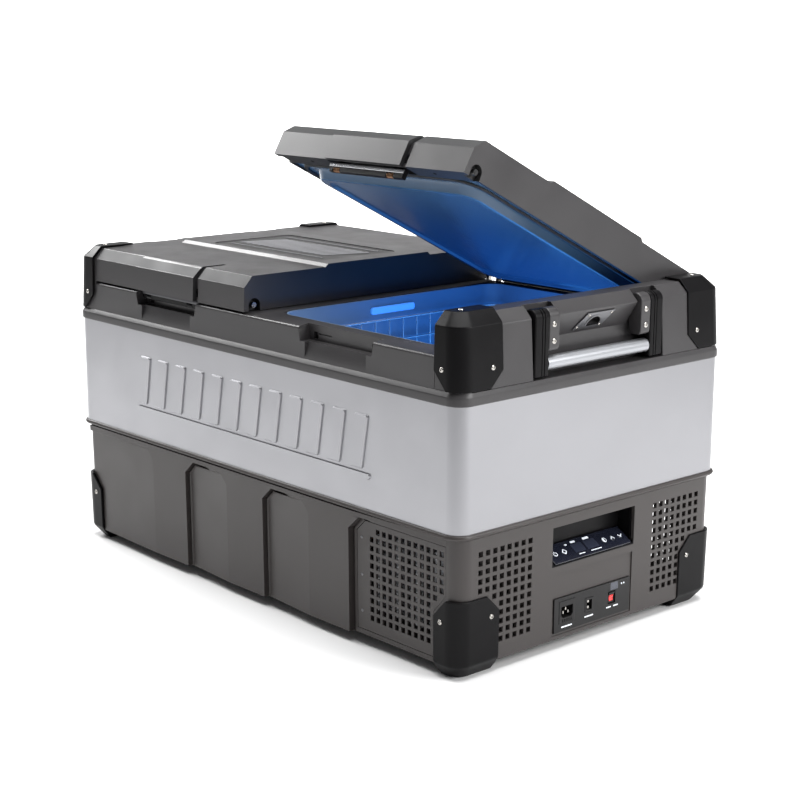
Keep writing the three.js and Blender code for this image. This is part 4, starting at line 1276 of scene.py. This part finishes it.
def build_controls():
    housing = block("housing", (424, 456), (-90, 90), (112, 191))
    sill = block("sill", (450, 462.4), (-85.7, 85.7), (FASCIA_LOW.z - 0.1, 131))
    join(housing, sill)
    slope = (FASCIA_LOW.z - FASCIA_HIGH.z) / (FASCIA_LOW.x - FASCIA_HIGH.x)
    opening = prism("opening", [(500, FASCIA_LOW.z + slope * (500 - FASCIA_LOW.x)),
                                (FASCIA_HIGH.x, FASCIA_HIGH.z), (FASCIA_HIGH.x + 3, 178),
                                (FASCIA_HIGH.x + 8, 183), (500, 183)], "y", -84, 84)
    cut(housing, opening)
    tidy(housing)
    finish_piece(housing, "control_box", "guard", "case", "guard_black", ["control_housing"])

    face = fascia_matrix(FASCIA_LIFT)
    panel = prism("fascia", rounded_ring(80, 16.5, 2.5, 0, 0.5, 5), "z", 0, 2.6)
    soften(panel, 0.4, 2)
    holes = Solids()
    for y in BUTTONS.values():
        holes.prism(circle(5.3, (y, 0), 28), "z", -2, 6)
    cut(panel, holes.object("holes"))
    panel.data.transform(metres(face))
    finish_piece(panel, "control_fascia", "panel", "case", "panel_black", ["control_panel"])

    windows = Solids()
    for u0, u1, v0, v1 in ((-30, -8, -7, 9), (-4, 20, -7, 9)):
        windows.prism(rounded_ring((u1 - u0) / 2, (v1 - v0) / 2, 2.0, (u0 + u1) / 2, (v0 + v1) / 2, 5),
                      "z", 2.55, 2.8, face)
    finish_piece(windows.object("windows"), "display_windows", "window", "case", "panel_black")

    marks = Solids()
    top = fascia_matrix(2.9 + FASCIA_LIFT)
    for u, v, w, h in ((-37, 10.5, 2.4, 1.4), (-21, 12.2, 5.0, 1.6), (6, 12.6, 6.5, 1.8),
                       (-20, -10.5, 6.0, 0.7), (10, -10.5, 11.0, 0.7)):
        marks.prism(rounded_ring(w, h, min(w, h) * 0.8, u, v, 4), "z", -0.36, -0.2, top)
    wall = face_frame((FASCIA_HIGH.x + 2.6, 0, 172), (1, 0, 0))
    for u in (-62, -47, -20, -8, 8, 20):
        marks.prism(rounded_ring(2.2 if u % 2 else 3.0, 0.9, 0.8, u, 0, 4), "z", -0.4, 0.6, wall)
    finish_piece(marks.object("marks"), "control_marks", "print", "case", "button_grey")

    for name, y in BUTTONS.items():
        build_button(name, y)


def build_button(name, y):
    face = fascia_matrix(FASCIA_LIFT)
    cap = solid("cap", [level(circle(r, (y, 0), 32), z)
                        for r, z in ((4.9, 1.3), (4.9, 2.75), (4.6, 3.0), (2.5, 3.08))])
    cap.data.transform(metres(face))
    finish_piece(cap, f"key_{name}", "panel", f"button_{name}", "button_grey",
                 [f"button_{name}"], smooth=40.0)
    icon = Solids()
    place = face @ Matrix.Translation((y, 0, 3.02))
    if name == "power":
        icon_line(icon, arc((0, 0), 3.3, 125, 415, 20), 1.1, place)
        icon_line(icon, [(0, 0.6), (0, 4.4)], 1.1, place)
    elif name == "set":
        icon_line(icon, [(0, 4.0), (4.0, 0), (0, -4.0), (-4.0, 0)], 1.5, place, closed=True)
    elif name == "mode":
        icon_line(icon, arc((0, 0), 3.6, 0, 345, 22), 0.8, place, closed=True)
        icon.prism(arc((0, 0), 3.3, 90, 270, 14), "z", 0.0, ICON_RISE, place)
    else:
        tip = 2.2 if name == "up" else -2.2
        icon_line(icon, [(-3.6, -tip), (0, tip), (3.6, -tip)], 1.5, place)
    finish_piece(icon.object("icon"), f"icon_{name}", "print", f"button_{name}", "button_grey")


def build_ports():
    ac, dc, rocker = (-70.5, -37.5, 37.5, 71.5), (-16.5, 1.5, 42.5, 64.5), (33.0, 49.0, 44.0, 63.0)
    plate = block("plate", (459.4, plate_hi.x), (-plate_hi.y, plate_hi.y), (plate_lo.z, plate_hi.z))
    soften(plate, 0.6, 2)
    cut(plate, *[block("hole", (440, 480), hole[:2], hole[2:]) for hole in (ac, dc, rocker)])
    finish_piece(plate, "port_plate", "port", "case", "guard_black", ["ports_plate"], edge=0.0)

    socket = block("socket", (440, 463.0), (ac[0] + 0.3, ac[1] - 0.3), (ac[2] + 0.3, ac[3] - 0.3))
    soften(socket, 0.8, 2)
    mouth = [(-66, 63), (-66, 50), (-62.5, 46), (-45.5, 46), (-42, 50), (-42, 63)]
    cut(socket, prism("mouth", mouth, "x", 448, 490))
    grooves = Solids()
    for k in range(6):
        y = -64.0 + k * 3.8
        grooves.box((462.2, 470), (y, y + 1.6), (39.2, 44.2))
    cut(socket, grooves.object("grooves"))
    finish_piece(socket, "ac_socket", "port", "case", "panel_black", ["ac_inlet"])
    contacts = Solids()
    for y, z in ((-59.0, 53.0), (-54.0, 58.0), (-49.0, 53.0)):
        contacts.box((447.5, 460.0), (y - 1.0, y + 1.0), (z - 2.0, z + 2.0))
    for z in (49.2, 57.8):
        contacts.prism(circle(1.9, (-7.5, z), 20), "x", 447.5, 460.4)
    finish_piece(contacts.object("contacts"), "socket_contacts", "steel", "case",
                 "stainless_steel", smooth=40.0)
    socket = block("dc", (440, 463.0), (dc[0] + 0.3, dc[1] - 0.3), (dc[2] + 0.3, dc[3] - 0.3))
    soften(socket, 0.8, 2)
    cut(socket, block("mouth", (448, 490), (-13, -2), (46, 61)))
    finish_piece(socket, "dc_socket", "port", "case", "panel_black", ["dc_inlet"])

    rocker_side = [(452, 45.5), (461.3, 45.5), (460.5, 51.0), (460.4, 53.5), (461.2, 56.5),
                   (464.2, 61.5), (452, 61.5)]
    key = prism("rocker", rocker_side, "y", 35, 47)
    soften(key, 0.5, 2, 40)
    finish_piece(key, "switch_rocker", "port", "power_switch", "switch_red", ["power_switch"])
    lamp = prism("lamp", [(459.5, 48.0), (461.3, 48.0), (460.75, 53.5), (462.2, 56.8), (459.5, 56.8)],
                 "y", 36.8, 45.2)
    finish_piece(lamp, "switch_lamp", "red", "power_switch", "switch_red", edge=0.2)
    marks = Solids()
    face = face_frame((plate_hi.x, 0, 0), (1, 0, 0))
    for u, v, w, h in ((-54, 32.5, 11, 1.0), (-7.5, 36.5, 9, 1.0), (35, 39.5, 5, 0.9),
                       (50, 39.5, 5, 0.9), (62, 70, 1.2, 1.2), (67, 70, 1.2, 1.2)):
        marks.prism(rounded_ring(w, h, min(w, h) * 0.7, u, v, 4), "z", -0.1, 0.12, face)
    finish_piece(marks.object("marks"), "port_marks", "print", "case", "button_grey")
    label = Solids().prism(rounded_ring(8, 5.5, 1.0, 46, 70, 4), "z", -0.1, 0.16, face).object("label")
    finish_piece(label, "port_label", "window", "case", "panel_black")


# ---------------------------------------------------------------- machinery, shown as in the CAD


def build_machinery():
    for node, look in (("compressor", "machine"), ("condenser", "fins"), ("refrigerant_line", "copper"),
                       ("fan_rotor", "machine"), ("control_board", "board"), ("insulation_foam", "foam")):
        dress_node(node, look)
    dress_node("fan_housing", "guard", 0.6)
    for side in LIDS:
        dress_node(f"hinge_rod_{side}", "steel")


# ---------------------------------------------------------------- stage, lights and camera


def area_light(name, place, target, size, power, colour=(1.0, 1.0, 1.0), spread=180.0):
    light = bpy.data.lights.new(name, "AREA")
    light.shape = "RECTANGLE"
    light.size, light.size_y = size
    light.energy = power
    light.color = colour
    light.spread = math.radians(spread)
    obj = put(name, light)
    obj.location = place
    obj.rotation_mode = "QUATERNION"
    obj.rotation_quaternion = (Vector(target) - Vector(place)).to_track_quat("-Z", "Y")


def build_stage():
    """A floor that curves up into a backdrop behind the fridge, seen from the camera."""
    mesh = bpy.data.meshes.new("floor")
    away, across = Vector((-0.747, 0.665, 0.0)), Vector((0.665, 0.747, 0.0))
    start, radius, half = 5.0, 2.0, 20.0
    turns = [math.radians(a) for a in range(0, 79, 6)]
    profile = [(-half, 0.0)]
    profile += [(start + radius * math.sin(a), radius - radius * math.cos(a)) for a in turns]
    verts = [away * d + across * w + Vector((0, 0, h)) for d, h in profile for w in (-half, half)]
    mesh.from_pydata(verts, [], [(2 * k, 2 * k + 1, 2 * k + 3, 2 * k + 2)
                                 for k in range(len(profile) - 1)])
    mesh.shade_smooth()
    floor = put("floor", mesh)
    material = bpy.data.materials.new("floor")
    material.use_nodes = True
    tree = material.node_tree
    feed(tree, tree.nodes["Principled BSDF"], Base_Color=(0.86, 0.86, 0.86, 1.0), Roughness=0.9)
    floor.data.materials.append(material)
    world = bpy.data.worlds.new("studio")
    bpy.context.scene.world = world
    world.use_nodes = True
    feed(world.node_tree, world.node_tree.nodes["Background"], Color=(0.97, 0.98, 1.0, 1.0),
         Strength=0.18)
    middle = (0.0, 0.0, 0.35)
    area_light("top", (0.3, 0.5, 3.8), (0.3, 0.5, 0.0), (3.6, 3.6), 270.0)
    area_light("rim", (-2.8, -0.45, 2.1), middle, (1.6, 1.1), 105.0)
    area_light("key", (3.0, 1.1, 1.7), middle, (1.6, 1.6), 90.0)
    area_light("backdrop", (-2.6, 2.4, 3.6), (-3.6, 3.2, 0.0), (6.0, 1.0), 260.0, spread=100.0)
    area_light("inner_glow", (COMPARTMENT_X * MM, 0.07, 0.33), (COMPARTMENT_X * MM, 0.12, 1.0),
               (0.26, 0.34), 0.75, (0.06, 0.34, 1.0))
    bpy.context.scene.view_settings.view_transform = "Standard"


CAMERA_AT = (2.0313, -1.7676, 0.8793)
CAMERA_TURN = (48.33, 12.65, 0.11)  # azimuth, elevation and roll, in degrees
CAMERA_LENS = 77.35


def build_camera():
    azimuth, elevation, roll = (math.radians(a) for a in CAMERA_TURN)
    forward = Vector((-math.sin(azimuth) * math.cos(elevation),
                      math.cos(azimuth) * math.cos(elevation), -math.sin(elevation)))
    level = Vector((math.cos(azimuth), math.sin(azimuth), 0.0))
    top = level.cross(forward)
    right = level * math.cos(roll) + top * math.sin(roll)
    up = top * math.cos(roll) - level * math.sin(roll)
    data = bpy.data.cameras.new("camera")
    data.lens = CAMERA_LENS
    data.sensor_width = 36.0
    data.clip_end = 100.0
    camera = put("camera", data)
    camera.matrix_world = placing(right, up, -forward, CAMERA_AT)
    bpy.context.scene.camera = camera


# ---------------------------------------------------------------- the whole fridge

build_camera()
build_stage()
build_base()
build_sleeve()
build_rim()
for end in ("right", "left"):
    build_end(end)
build_opener()
for corner_name, (corner_x, corner_y) in CORNERS.items():
    build_crown(corner_name, corner_x, corner_y)
for lid_side in LIDS:
    build_lid(lid_side)
    build_tub(lid_side)
    build_basket(lid_side)
    build_light(lid_side)
build_controls()
build_ports()
build_machinery()
